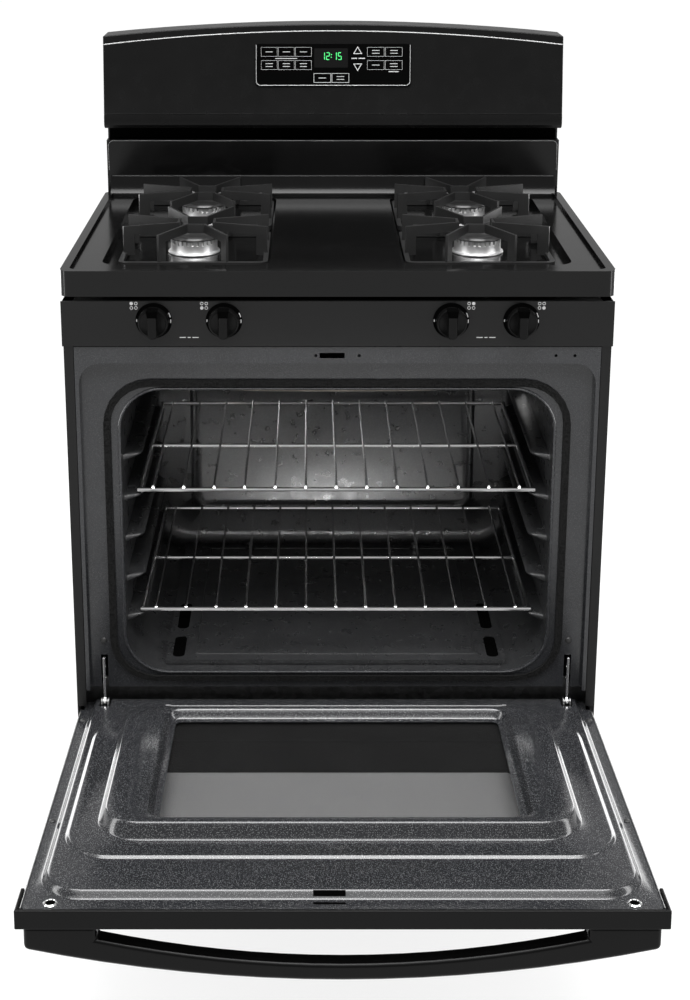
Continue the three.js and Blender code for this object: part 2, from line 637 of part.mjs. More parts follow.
// Door coordinates: x as before, y backwards and z up from the hinge axis. A depth is measured
// outwards from the hinge axis, so it is a negative y.
const door = new THREE.Group();
door.position.set(0, HINGE_Y, HINGE_Z);
door.rotation.x = THREE.MathUtils.degToRad(DOOR_OPEN_ANGLE);
range.add(door);

const WINDOW = { half: 225, bottom: 92, top: 368 };
const WINDOW_MARGIN = 16;

// Steps of the pressed liner: half width, bottom, top, corner radius and height over the flange.
const LINER_STEPS = [
  { half: 356, bottom: -DOOR_FOOT - 60, top: 511, corner: 50, height: 8 },
  { half: 315, bottom: 48, top: 425, corner: 45, height: 12.5 },
  { half: 299, bottom: 53, top: 392, corner: 48, height: 25 },
];
const WINDOW_RECESS = 9;        // how far the window's border lies below the liner's plateau

const stepOutline = ({ half, bottom, top, corner }, margin) => (
  roundedRect(-half + margin, half - margin, bottom + margin, top - margin, corner - margin));

function doorSkin() {
  const [top, foot, radius] = [DOOR_LENGTH - 5, -DOOR_FOOT, 20];
  const wall = 1.2;
  const outside = new THREE.Shape();
  outside.moveTo(-FLANGE - GAP, foot);
  outside.lineTo(-FLANGE - GAP, top);
  outside.lineTo(-DOOR_FACE, top);
  outside.lineTo(-DOOR_FACE, foot + radius);
  outside.absarc(-DOOR_FACE + radius, foot + radius, radius, Math.PI, 1.5 * Math.PI);
  const inside = new THREE.Shape();
  inside.moveTo(0, foot + wall);
  inside.lineTo(0, top - wall);
  inside.lineTo(-DOOR_FACE + wall, top - wall);
  inside.lineTo(-DOOR_FACE + wall, foot + radius);
  inside.absarc(-DOOR_FACE + radius, foot + radius, radius - wall, Math.PI, 1.5 * Math.PI);
  const viewHole = prism(roundedRect(-WINDOW.half - 8, WINDOW.half + 8, WINDOW.bottom - 8,
    WINDOW.top + 8, 12), 'y', -DOOR_FACE - 1, -DOOR_FACE + 3);
  return cut(prism(outside, 'x', -DOOR_HALF, DOOR_HALF),
    prism(inside, 'x', -DOOR_HALF + wall, DOOR_HALF - wall), viewHole);
}

const LINER_BOTTOM = -DOOR_FOOT + 1.5;

// The first step runs out through the door's foot, so the liner is trimmed there.
const aboveFoot = (margin) => block([-400, 400], [-60, 40], [LINER_BOTTOM + margin, 600]);

function doorLiner() {
  const tiers = LINER_STEPS.map((step, i) => {
    const under = i ? LINER_STEPS[i - 1].height : 0;
    return prism(stepOutline(step, 0), 'y', -FLANGE + under - SHEET, -FLANGE + step.height)
      .intersect(aboveFoot(0));
  });
  const hollows = LINER_STEPS.map((step, i) => {
    const under = i ? LINER_STEPS[i - 1].height - SHEET - 1 : -SHEET - 1;
    return prism(stepOutline(step, SHEET), 'y', -FLANGE + under, -FLANGE + step.height - SHEET)
      .intersect(aboveFoot(SHEET));
  });
  const flange = prism(roundedRect(-DOOR_HALF + 1.7, DOOR_HALF - 1.7, LINER_BOTTOM,
    DOOR_LENGTH - 6.5, 6), 'y', -FLANGE - GAP + 0.4, -FLANGE + SHEET);
  const plateau = LINER_STEPS[2].height;
  const recess = (margin, from, to) => prism(roundedRect(
    -WINDOW.half - WINDOW_MARGIN + margin, WINDOW.half + WINDOW_MARGIN - margin,
    WINDOW.bottom - WINDOW_MARGIN + margin, WINDOW.top + WINDOW_MARGIN - margin,
    22 - margin), 'y', -FLANGE + from, -FLANGE + to);
  const recessFloor = plateau - WINDOW_RECESS;
  const view = prism(roundedRect(-WINDOW.half, WINDOW.half, WINDOW.bottom, WINDOW.top, 10), 'y',
    -FLANGE - 5, -FLANGE + plateau + 1);
  const slots = SIDES.map(([, sign]) => block(
    [sign * HINGE_X - 8, sign * HINGE_X + 8], [-FLANGE - 3, 4], [-21, 12]));
  const latchSlots = [483, 513].map((z) => block([-34, 4], [-FLANGE - 3, 0], [z, z + 6]));
  const outerSheet = cut(join(flange, ...tiers), recess(0, recessFloor, plateau + 1));
  const tray = cut(
    recess(-SHEET, recessFloor - SHEET, plateau - 0.2),
    recess(0, recessFloor, plateau + 1));
  return cut(join(cut(outerSheet, ...hollows), tray), view, ...slots, ...latchSlots);
}

piece('door_skin', doorSkin(), 'black_paint', door);
piece('door_liner', doorLiner(), 'speckled_porcelain', door);

function doorCap() {
  const half = PANEL_HALF;
  const bar = block([-half, half], [-DOOR_FACE, -FLANGE + 1], [DOOR_LENGTH - 4.5, DOOR_LENGTH]);
  const tabs = [-1, 1].map((side) => block(
    [side * 376 - 2.5, side * 376 + 2.5], [-DOOR_FACE, -FLANGE + 1],
    [DOOR_LENGTH - 50, DOOR_LENGTH - 1]));
  return join(bar, ...tabs);
}

piece('door_cap', doorCap(), 'black_plastic', door);

const innerPane = -FLANGE + LINER_STEPS[2].height - WINDOW_RECESS - SHEET - GAP;
piece('door_window_inner', prism(roundedRect(-WINDOW.half - 12, WINDOW.half + 12,
  WINDOW.bottom - 12, WINDOW.top + 12, 10), 'y', innerPane - 4, innerPane), 'window_glass', door);
piece('door_window_outer', prism(roundedRect(-WINDOW.half - 20, WINDOW.half + 20,
  WINDOW.bottom - 20, WINDOW.top + 20, 10), 'y', -DOOR_FACE + 1.2 + GAP,
-DOOR_FACE + 5.2 + GAP), 'window_glass', door);

// The handle's plan: two end blocks and a bar bowed outwards between them.
function doorHandle() {
  const half = 370;
  const blockInner = 285;
  const rootDepth = -DOOR_FACE - GAP;
  const endReach = -DOOR_FACE - 30;
  const bow = -DOOR_FACE - HANDLE_REACH;
  const bowInner = bow + 22;
  const blockNose = -DOOR_FACE - 16;
  const shape = new THREE.Shape();
  shape.moveTo(-half, rootDepth);
  shape.lineTo(-half, endReach);
  shape.quadraticCurveTo(0, 2 * bow - endReach, half, endReach);
  shape.lineTo(half, rootDepth);
  shape.lineTo(blockInner, rootDepth);
  shape.lineTo(blockInner, blockNose);
  shape.quadraticCurveTo(0, 2 * bowInner - blockNose, -blockInner, blockNose);
  shape.lineTo(-blockInner, rootDepth);
  return prism(shape, 'z', DOOR_LENGTH - 30, DOOR_LENGTH - 6, 16);
}

piece('door_handle', doorHandle(), 'black_plastic', door);

// Door half of a hinge: a channel behind the liner whose two ears hold the pin.
const PIN_RADIUS = 3;
const ARM_HALF = 1.5;

function hingeBody(x) {
  const channel = cut(
    block([x - 11, x + 11], [-30, -9.5], [-8, 150]),
    block([x - 9.5, x + 9.5], [-28.5, 0], [-9, 148.5]));
  const ears = [-1, 1].map((side) => {
    const at = x + side * 4.6;
    return join(
      block([at - 1, at + 1], [-29, 0], [-7, 9]),
      cylinder('x', [0, 0], 6, at - 1, at + 1));
  });
  return join(channel, ...ears, cylinder('x', [0, 0], PIN_RADIUS, x - 5.4, x + 5.4, 12));
}

for (const [side, sign] of SIDES) {
  piece(`hinge_body_${side}`, hingeBody(sign * HINGE_X), 'galvanised', door);
}

// Body half of a hinge: an arm hooked in the front frame, with its eye round the pin.
function hingeArm(x) {
  const arm = outline([
    [HINGE_Y - 1, HINGE_Z + 4], [HINGE_Y + 9, HINGE_Z + 4], [HINGE_Y + 9, 290], [44, 296],
    [44, 326], [HINGE_Y + 12, 326], [HINGE_Y + 9, 334], [HINGE_Y - 1, 334]]);
  return cut(join(
    prism(arm, 'x', x - ARM_HALF, x + ARM_HALF),
    cylinder('x', [HINGE_Y, HINGE_Z], 7.5, x - ARM_HALF, x + ARM_HALF)),
  cylinder('x', [HINGE_Y, HINGE_Z], PIN_RADIUS + 0.4, x - 5, x + 5, 12),
  cylinder('x', [HINGE_Y + 4, 300], 2.5, x - 5, x + 5, 8),
  cylinder('x', [HINGE_Y + 4, 318], 2.5, x - 5, x + 5, 8));
}

for (const [side, sign] of SIDES) {
  piece(`hinge_arm_${side}`, hingeArm(sign * HINGE_X), 'chrome');
}

// ---------------------------------------------------------------- storage drawer

piece('drawer_front', cut(
  block([-DOOR_HALF, DOOR_HALF], [-DOOR_FACE + 4, -2], [DRAWER_BOTTOM, DRAWER_TOP]),
  block([-DOOR_HALF + SHEET, DOOR_HALF - SHEET], [-DOOR_FACE + 4 + SHEET, 0],
    [DRAWER_BOTTOM + SHEET, DRAWER_TOP - SHEET])), 'black_paint');

const BOX = { half: 344, rear: 520, bottom: 64, top: 190 };
piece('drawer_box', cut(
  block([-BOX.half, BOX.half], [-10, BOX.rear], [BOX.bottom, BOX.top]),
  block([-BOX.half + SHEET, BOX.half - SHEET], [-10 + SHEET, BOX.rear - SHEET],
    [BOX.bottom + SHEET, BOX.top + 1])), 'galvanised');

// ---------------------------------------------------------------- whole range

const openAngle = THREE.MathUtils.degToRad(DOOR_OPEN_ANGLE);
const frontReach = HINGE_Y - DOOR_LENGTH * Math.sin(openAngle) - DOOR_FACE * Math.cos(openAngle);
range.position.y = -(frontReach + BODY_DEPTH) / 2;

const assembly = new THREE.Group();
assembly.add(range);

export default assembly;
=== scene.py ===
"""The looks of a freestanding gas range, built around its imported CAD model.

Every piece is drawn in millimetres in one of three local frames and placed by that frame's
matrix: BODY has x to the right, y backwards from the front plane and z up from the floor; DOOR
is the same, seen with the door closed, about the hinge axis; FACE lies on the console's leaning
face, about the middle of the control glass.
"""

import json
import math

import bmesh
import bpy
from mathutils import Matrix, Vector


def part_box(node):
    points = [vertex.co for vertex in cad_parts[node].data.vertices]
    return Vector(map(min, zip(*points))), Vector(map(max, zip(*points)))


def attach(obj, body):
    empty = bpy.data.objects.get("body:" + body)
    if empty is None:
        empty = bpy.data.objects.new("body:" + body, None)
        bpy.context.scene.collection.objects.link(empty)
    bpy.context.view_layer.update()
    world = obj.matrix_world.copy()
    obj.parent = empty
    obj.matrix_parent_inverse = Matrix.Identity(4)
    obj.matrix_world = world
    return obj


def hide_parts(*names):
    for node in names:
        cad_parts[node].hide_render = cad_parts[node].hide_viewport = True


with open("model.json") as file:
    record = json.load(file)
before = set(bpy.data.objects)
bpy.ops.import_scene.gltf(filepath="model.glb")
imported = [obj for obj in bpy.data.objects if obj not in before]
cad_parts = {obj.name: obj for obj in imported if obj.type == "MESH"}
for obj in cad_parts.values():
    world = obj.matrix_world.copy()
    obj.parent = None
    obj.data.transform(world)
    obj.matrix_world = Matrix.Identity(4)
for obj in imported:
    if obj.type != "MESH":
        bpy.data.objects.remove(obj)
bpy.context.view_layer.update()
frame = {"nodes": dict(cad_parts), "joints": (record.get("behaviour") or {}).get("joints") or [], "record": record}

MM = 0.001

# ------------------------------------------------------------------ local frames

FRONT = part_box("oven_front_frame")[0].y
BODY = Matrix.Translation((0, FRONT, 0)) @ Matrix.Scale(MM, 4)

hinge = next(joint for joint in frame["joints"] if joint["name"] == "door_hinge")
OPEN_ANGLE = math.radians(hinge["range_deg"][1])
DOOR = Matrix.Translation(hinge["pos_m"]) @ Matrix.Rotation(OPEN_ANGLE, 4, "X") @ Matrix.Scale(MM, 4)

FACE_LEAN = math.atan2(21.5, 144)
glass_low, glass_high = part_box("control_glass")
FACE = (Matrix.Translation((glass_low + glass_high) / 2)
        @ Matrix.Rotation(-FACE_LEAN, 4, "X") @ Matrix.Scale(MM, 4))

# ------------------------------------------------------------------ materials

NODE_GAP = 200


class Look:
    """A procedural material under construction: add() makes a node and links its inputs."""

    def __init__(self, name):
        self.material = bpy.data.materials.new(name)
        self.material.use_nodes = True
        self.tree = self.material.node_tree
        self.tree.nodes.clear()
        self.place = self.add("ShaderNodeTexCoord").outputs["Object"]

    def add(self, kind, settings=None, **inputs):
        node = self.tree.nodes.new(kind)
        node.location.x = NODE_GAP * len(self.tree.nodes)
        for key, value in (settings or {}).items():
            setattr(node, key, value)
        for key, value in inputs.items():
            socket = node.inputs[key.replace("_", " ")]
            if isinstance(value, bpy.types.NodeSocket):
                self.tree.links.new(value, socket)
            else:
                socket.default_value = value
        return node

    def noise(self, size_mm, detail=2.0):
        node = self.add("ShaderNodeTexNoise", Vector=self.place, Scale=1000 / size_mm, Detail=detail)
        return node.outputs["Fac"]

    def cells(self, size_mm, output="Distance"):
        node = self.add("ShaderNodeTexVoronoi", Vector=self.place, Scale=1000 / size_mm)
        return node.outputs[output]

    def ramp(self, factor, low, high, start=0.3, end=0.7):
        """factor from start to end, stretched to run from the low value to the high one."""
        node = self.add("ShaderNodeMapRange", {"clamp": True}, Value=factor)
        for key, value in (("From Min", start), ("From Max", end), ("To Min", low), ("To Max", high)):
            node.inputs[key].default_value = value
        return node.outputs["Result"]

    def mix(self, factor, first, second):
        node = self.add("ShaderNodeMix", {"data_type": "RGBA"})
        factor_socket, first_socket, second_socket = node.inputs[0], node.inputs[6], node.inputs[7]
        for socket, value in ((factor_socket, factor), (first_socket, first), (second_socket, second)):
            if isinstance(value, bpy.types.NodeSocket):
                self.tree.links.new(value, socket)
            else:
                socket.default_value = value
        return node.outputs[2]

    def bump(self, height, depth_mm, strength=1.0):
        node = self.add("ShaderNodeBump", Height=height, Distance=depth_mm * MM, Strength=strength)
        return node.outputs["Normal"]

    def finish(self, colour, roughness, normal, fixed):
        """fixed holds the values that are the same all over, set on the shader's own sockets."""
        shader = self.add("ShaderNodeBsdfPrincipled")
        for key, value in fixed.items():
            shader.inputs[key].default_value = value
        self.tree.links.new(colour, shader.inputs["Base Color"])
        self.tree.links.new(roughness, shader.inputs["Roughness"])
        self.tree.links.new(normal, shader.inputs["Normal"])
        output = self.add("ShaderNodeOutputMaterial")
        self.tree.links.new(shader.outputs["BSDF"], output.inputs["Surface"])
        return self.material


def grey(value, alpha=1.0):
    return (value, value, value, alpha)


def coated(name, colour, roughness, grain_mm=0.6, grain_depth=0.02, shade=0.12, blotch_mm=90, **fixed):
    """A sprayed, moulded or cast surface: a fine grain, and slow changes of shade and gloss."""
    look = Look(name)
    darker = tuple(channel * (1 - shade) for channel in colour[:3]) + (1.0,)
    lighter = tuple(channel * (1 + shade) for channel in colour[:3]) + (1.0,)
    shaded = look.mix(look.ramp(look.noise(blotch_mm), 0, 1), darker, lighter)
    gloss = look.ramp(look.noise(blotch_mm / 4, 4.0), roughness * 0.93, roughness * 1.1)
    relief = look.bump(look.noise(grain_mm), grain_depth)
    return look.finish(shaded, gloss, relief, fixed)


def speckled(name, ground, fleck, size, roughness, cell_mm=1.3, **fixed):
    """Porcelain enamel: a dark ground with pale round flecks, under a glaze with an orange peel.

    size is a fleck's radius as a share of the cells that the flecks are scattered over."""
    look = Look(name)
    spots = look.ramp(look.cells(cell_mm), 1, 0, size * 0.5, size)
    strength = look.ramp(look.cells(cell_mm, "Color"), 0, 1, 0.2, 0.9)
    mask = look.add("ShaderNodeMath", {"operation": "MULTIPLY"})
    look.tree.links.new(spots, mask.inputs[0])
    look.tree.links.new(strength, mask.inputs[1])
    clouded = look.mix(look.ramp(look.noise(60), 0, 1), ground, tuple(c * 1.35 for c in ground[:3]) + (1,))
    colour = look.mix(mask.outputs[0], clouded, fleck)
    gloss = look.ramp(look.noise(18, 3.0), roughness * 0.85, roughness * 1.2)
    relief = look.bump(look.noise(5.0), 0.04)
    return look.finish(colour, gloss, relief, fixed)


def metal(name, colour, roughness, grain_mm=0.5, grain_depth=0.01, shade=0.06, **fixed):
    """Bare or plated metal: faint grain, and patches of duller and brighter finish."""
    return coated(name, colour, roughness, grain_mm, grain_depth, shade, blotch_mm=35,
                  Metallic=1.0, **fixed)


def galvanised(name):
    """Hot-dipped sheet: crystals some 8 mm across, each with its own shade and gloss."""
    look = Look(name)
    spangle = look.cells(8.0, "Color")
    shade = look.mix(look.ramp(spangle, 0, 1, 0.1, 0.9), grey(0.15), grey(0.23))
    gloss = look.ramp(look.noise(6), 0.35, 0.55)
    return look.finish(shade, gloss, look.bump(look.noise(1.5), 0.02), {"Metallic": 1.0})


def braided(name):
    """Woven glass-fibre sleeve of the door seal."""
    look = Look(name)
    weave = look.cells(2.2)
    shade = look.mix(look.ramp(weave, 0, 1, 0.1, 0.8), grey(0.010), grey(0.003))
    return look.finish(shade, look.ramp(weave, 0.8, 0.95), look.bump(weave, 0.6),
                       {"Specular IOR Level": 0.1})


def dotted_glass(name, pitch_mm=3.0):
    """The printed screen of small dark dots on the door's outer pane; the pale ground between the dots is painted
    light, the bright floor seen through the pane.
    """
    look = Look(name)
    split = look.add("ShaderNodeSeparateXYZ", Vector=look.place)
    waves = []
    for axis in ("X", "Y"):
        turns = look.add("ShaderNodeMath", {"operation": "MULTIPLY"})
        look.tree.links.new(split.outputs[axis], turns.inputs[0])
        turns.inputs[1].default_value = 2 * math.pi * 1000 / pitch_mm
        wave = look.add("ShaderNodeMath", {"operation": "SINE"})
        look.tree.links.new(turns.outputs[0], wave.inputs[0])
        waves.append(wave.outputs[0])
    both = look.add("ShaderNodeMath", {"operation": "MULTIPLY"})
    look.tree.links.new(waves[0], both.inputs[0])
    look.tree.links.new(waves[1], both.inputs[1])
    dots = look.ramp(both.outputs[0], 0, 1, -0.1, 0.35)
    # Pale ground between the dark dots: painted light from the floor seen through the pane.
    colour = look.mix(dots, grey(0.85), grey(0.10))
    gloss = look.ramp(look.noise(30), 0.3, 0.45)
    return look.finish(colour, gloss, look.bump(dots, 0.02), {})


def glowing(name, colour, strength):
    """Lit segments of the clock, a little uneven along each segment."""
    look = Look(name)
    shaded = look.mix(look.ramp(look.noise(2.0), 0, 1), colour, tuple(c * 0.8 for c in colour[:3]) + (1,))
    material = look.finish(shaded, look.ramp(look.noise(5), 0.3, 0.4), look.bump(look.noise(1), 0.005),
                           {"Emission Color": colour, "Emission Strength": strength})
    return material


LOOKS = {
    "black_paint": coated("black_paint", grey(0.0035), 0.36, 0.9, 0.02, **{"Specular IOR Level": 0.24}),
    "black_enamel": coated("black_enamel", grey(0.002), 0.15, 5.0, 0.01, **{"Specular IOR Level": 0.22}),
    "console_plastic": coated("console_plastic", grey(0.003), 0.26, 0.7, 0.015,
                              **{"Specular IOR Level": 0.14}),
    "black_plastic": coated("black_plastic", grey(0.002), 0.20, 0.8, 0.012,
                            **{"Specular IOR Level": 0.13}),
    "foot_plastic": coated("foot_plastic", grey(0.012), 0.5, 0.5, 0.05),
    "galvanised_steel": galvanised("galvanised_steel"),
    "speckled_porcelain": speckled("speckled_porcelain", (0.0105, 0.011, 0.0125, 1), grey(0.18), 0.40, 0.16,
                                   **{"Specular IOR Level": 0.62}),
    # A darker copy of speckled_porcelain for the front frame and the oven's lip: its dimmer flecks paint shade on
    # the frame.
    "shaded_frame_porcelain": speckled("shaded_frame_porcelain", (0.0105, 0.011, 0.0125, 1), grey(0.12), 0.38, 0.2,
                                **{"Specular IOR Level": 0.5}),
    "oven_porcelain": speckled("oven_porcelain", (0.010, 0.0103, 0.011, 1), grey(0.14), 0.38, 0.30,
                               **{"Specular IOR Level": 0.6}),
    "burner_steel": metal("burner_steel", (0.33, 0.29, 0.25, 1), 0.42, 1.0, 0.05, 0.3),
    # The lamp's glass glows a little: a painted glow that stands in for the bright highlights on it.
    "lamp_glass": coated("lamp_glass", (0.82, 0.82, 0.78, 1), 0.12, 3.0, 0.3, 0.05,
                         **{"Metallic": 0.4, "Emission Color": grey(1.0), "Emission Strength": 0.6}),
    "seal_fibre": braided("seal_fibre"),
    "rack_chrome": metal("rack_chrome", grey(0.85), 0.14),
    "grate_enamel": coated("grate_enamel", grey(0.012), 0.34, 1.1, 0.04, **{"Specular IOR Level": 0.5}),
    "burner_aluminium": metal("burner_aluminium", grey(0.72), 0.42, 0.8, 0.03, 0.12),
    "valve_brass": metal("valve_brass", (0.66, 0.48, 0.2, 1), 0.3, 0.5, 0.02, 0.12),
    "stem_steel": metal("stem_steel", grey(0.6), 0.22),
    "control_glass": coated("control_glass", grey(0.001), 0.10, 40.0, 0.005, **{"Specular IOR Level": 0.03}),
    "window_glass": coated("window_glass", grey(0.016), 0.3, 60.0, 0.005,
                           **{"Specular IOR Level": 0.12, "Alpha": 0.36}),
    "window_screen": dotted_glass("window_screen"),
    "white_print": coated("white_print", grey(0.36), 0.5, 0.4, 0.005, 0.05),
    "polished_edge": coated("polished_edge", grey(0.03), 0.3, 0.8, 0.005, 0.05,
                            **{"Specular IOR Level": 1.0, "IOR": 1.9}),
    # Pale grey for thin lines: the highlight painted along the console's crown, and the line round the control
    # glass.
    "pale_line_and_highlight": coated("pale_line_and_highlight", grey(0.42), 0.3, 0.4, 0.005, 0.05),
    "display_glass": coated("display_glass", grey(0.005), 0.15, 3.0, 0.005, **{"Specular IOR Level": 0.05}),
    "green_digit": glowing("green_digit", (0.06, 0.60, 0.16, 1), 0.3),
    "white_ceramic": coated("white_ceramic", grey(0.7), 0.3, 0.5, 0.02, 0.05),
    # Flat black without gloss: painted shade in the sockets and slots of the door liner, the knob notches, the
    # vent, the floor's slots and the far part of the window; also the black print of the knob rings.
    "shade_and_print_black": coated("shade_and_print_black", grey(0.0012), 0.9, 1.0, 0.01, **{"Specular IOR Level": 0.0}),
}

# Carried-over nodes whose look isn't named like their slot.
LOOK_OF = {"oven_front_frame": "shaded_frame_porcelain", "console_shell": "console_plastic"}

# ------------------------------------------------------------------ making pieces

SMOOTH_ANGLE = math.radians(35)


def piece(name, bm, place, look, body, stands_for=(), facing=None):
    """Places a bmesh drawn in millimetres, and lets it ride on a CAD body.

    facing is the side that an open sheet's faces turn to, in the local frame."""
    bmesh.ops.remove_doubles(bm, verts=bm.verts, dist=0.002)
    bmesh.ops.recalc_face_normals(bm, faces=bm.faces)
    if facing and sum(face.normal.dot(Vector(facing)) * face.calc_area() for face in bm.faces) < 0:
        bmesh.ops.reverse_faces(bm, faces=bm.faces)
    bm.transform(place)
    for face in bm.faces:
        face.smooth = True
    for edge in bm.edges:
        edge.smooth = edge.is_manifold and edge.calc_face_angle() < SMOOTH_ANGLE
    mesh = bpy.data.meshes.new(name)
    bm.to_mesh(mesh)
    bm.free()
    mesh.materials.append(LOOKS[look])
    made = bpy.data.objects.new(name, mesh)
    bpy.context.scene.collection.objects.link(made)
    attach(made, body)
    if stands_for:
        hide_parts(*stands_for)
    return made


def soften(made, radius_mm, segments=3, angle=40):
    """Rounds the edges of a piece that are sharper than an angle in degrees."""
    bevel = made.modifiers.new("rounded edges", "BEVEL")
    bevel.width = radius_mm * MM
    bevel.segments = segments
    bevel.limit_method = "ANGLE"
    bevel.angle_limit = math.radians(angle)
    bevel.harden_normals = True
    bevel.use_clamp_overlap = True
    return made


def thicken(made, thickness_mm, offset=-1):
    """Gives a pressed sheet its thickness, on the side away from its face normals."""
    sheet = made.modifiers.new("sheet", "SOLIDIFY")
    sheet.thickness = thickness_mm * MM
    sheet.offset = offset
    sheet.use_even_offset = True
    return made


def loft(bm, loops, closed=True, first_cap=False, last_cap=False):
    """Skins a list of equally long loops of points; caps fill the first and last loops."""
    rings = [[bm.verts.new(point) for point in loop] for loop in loops]
    count = len(rings[0])
    steps = count if closed else count - 1
    for lower, upper in zip(rings, rings[1:]):
        for i in range(steps):
            j = (i + 1) % count
            bm.faces.new((lower[i], lower[j], upper[j], upper[i]))
    if first_cap:
        bm.faces.new(rings[0])
    if last_cap:
        bm.faces.new(rings[-1])
    return rings


def lathe(bm, profile, centre, axis="z", segments=48):
    """Turns [radius, distance along the axis] points about an axis through centre."""
    loops = []
    for radius, along in profile:
        loop = []
        for i in range(segments):
            turn = 2 * math.pi * i / segments
            across = (max(radius, 0.01) * math.cos(turn), max(radius, 0.01) * math.sin(turn))
            if axis == "z":
                offset = (across[0], across[1], along)
            elif axis == "y":
                offset = (across[0], along, across[1])
            else:
                offset = (along, across[0], across[1])
            loop.append(Vector(centre) + Vector(offset))
        loops.append(loop)
    loft(bm, loops, first_cap=True, last_cap=True)


def rounded_rectangle(low, high, radius, steps=8, foot_radius=None):
    """Points of a rounded rectangle between two corners; the lower corners may differ in radius."""
    points = []
    for quarter in range(4):
        right = quarter in (0, 3)
        upper = quarter in (0, 1)
        r = max(radius if upper or foot_radius is None else foot_radius, 0.01)
        centre = (high[0] - r if right else low[0] + r, high[1] - r if upper else low[1] + r)
        for i in range(steps + 1):
            turn = math.pi / 2 * (quarter + i / steps)
            points.append((centre[0] + r * math.cos(turn), centre[1] + r * math.sin(turn)))
    return points


def block(bm, low, high):
    """A box between two corners."""
    corners = [(low[0], low[1]), (high[0], low[1]), (high[0], high[1]), (low[0], high[1])]
    loft(bm, [[(x, y, z) for x, y in corners] for z in (low[2], high[2])],
         first_cap=True, last_cap=True)


def plate(bm, outline, y_front, y_back):
    """A flat plate with an outline drawn in (x, z), between two depths."""
    loft(bm, [[(x, y, z) for x, z in outline] for y in (y_front, y_back)],
         first_cap=True, last_cap=True)


def ring_bead(bm, low, high, corner, depth, radius, sides=10):
    """A round bead that runs along a rounded rectangle drawn in (x, z)."""
    loops = []
    for i in range(sides + 1):
        turn = 2 * math.pi * i / sides
        inset, rise = radius * math.cos(turn), radius * math.sin(turn)
        outline = rounded_rectangle((low[0] + inset, low[1] + inset), (high[0] - inset, high[1] - inset),
                                    corner - inset)
        loops.append([(x, depth + rise, z) for x, z in outline])
    loft(bm, loops)


def bar(bm, points, radius, sides=12):
    """A round bar through a list of points, with its ends closed."""
    points = [Vector(point) for point in points]
    loops = []
    for i, point in enumerate(points):
        ahead = points[min(i + 1, len(points) - 1)] - points[max(i - 1, 0)]
        turn = ahead.to_track_quat("Z", "Y")
        loops.append([point + turn @ Vector((radius * math.cos(a), radius * math.sin(a), 0))
                      for a in (2 * math.pi * k / sides for k in range(sides))])
    loft(bm, loops, first_cap=True, last_cap=True)


# ------------------------------------------------------------------ door

# Depths of the liner: its flange, two steps, the plateau and the border of the window.
LINER_LEVELS = (-11.0, -1.8, 1.6, 21.5, 8.7)
LINER_FOOT = -23.5           # lower edge of the liner
DOOR_FACE = 33               # hinge axis to the outer face
HINGE_X = 337                # middle of the slots for the hinge arms
HINGE_SLOT = {"half": 8, "low": -21, "high": 12}   # half its width, lower and upper edge


def pressed_step(shape, width, start, end, steps=8):
    """Loops that climb a soft pressed step, inwards from a shape, from one depth to another."""
    low, high, radius, foot_radius = shape
    loops = []
    for i in range(steps + 1):
        t = i / steps
        inset = width * t
        depth = start + (end - start) * (t * t * (3 - 2 * t))
        outline = rounded_rectangle((low[0] + inset, low[1] + inset), (high[0] - inset, high[1] - inset),
                                    radius - inset, foot_radius=max(foot_radius - inset, 0))
        loops.append([(x, depth, z) for x, z in outline])
    return loops


def cut_slot(bm, low, high):
    """Cuts a hole between two corners (x, z) through a sheet."""
    for corner in (low, high):
        for normal, at in (((1, 0, 0), (corner[0], 0, 0)), ((0, 0, 1), (0, 0, corner[1]))):
            bmesh.ops.bisect_plane(bm, geom=bm.verts[:] + bm.edges[:] + bm.faces[:],
                                   plane_co=at, plane_no=normal)
    centres = {face: face.calc_center_median() for face in bm.faces}
    inside = [face for face, at in centres.items()
              if low[0] < at.x < high[0] and low[1] < at.z < high[1]]
    bmesh.ops.delete(bm, geom=inside, context="FACES")


def door_liner():
    """The door's pressed porcelain inside, with its steps, ribs and the bright edges of the skin."""
    flange, first, second, plateau, recess = LINER_LEVELS
    loops = [[(x, flange, z) for x, z in rounded_rectangle((-371.3, LINER_FOOT), (371.3, 533.9), 6)]]
    loops += pressed_step(((-359, LINER_FOOT + 1), (359, 515), 54, 3), 10, flange, first)
    loops += pressed_step(((-342, 24), (342, 440), 62, 92), 6, first, second)
    loops += pressed_step(((-305, 50), (305, 402), 56, 56), 12, second, plateau, 12)
    loops += pressed_step(((-244, 68), (244, 380), 26, 26), 11, plateau, recess)
    loops += pressed_step(((-229, 82), (229, 364), 12, 12), 2, recess, recess - 1, 3)
    bm = bmesh.new()
    loft(bm, loops)
    for x in (-HINGE_X, HINGE_X):
        cut_slot(bm, (x - HINGE_SLOT["half"], HINGE_SLOT["low"]),
                 (x + HINGE_SLOT["half"], HINGE_SLOT["high"]))
    made = piece("pressed_door_liner", bm, DOOR, "speckled_porcelain", "door", ["door_liner"],
                 facing=(0, 1, 0))
    thicken(made, 0.8)

    bm = bmesh.new()
    rib = 3.2
    bar(bm, [(x, first - 1.2, 8) for x in (-248, -244, 0, 244, 248)], rib, 16)
    bar(bm, [(x, plateau - 2.6, 58) for x in (-236, -232, 0, 232, 236)], rib, 16)
    piece("liner_ribs", bm, DOOR, "speckled_porcelain", "door")

    bm = bmesh.new()
    for side in (-1, 1):
        bar(bm, [(side * 372, -10.2, z) for z in (LINER_FOOT + 2, 250, 533)], 0.7, 8)
    piece("skin_edges", bm, DOOR, "polished_edge", "door")


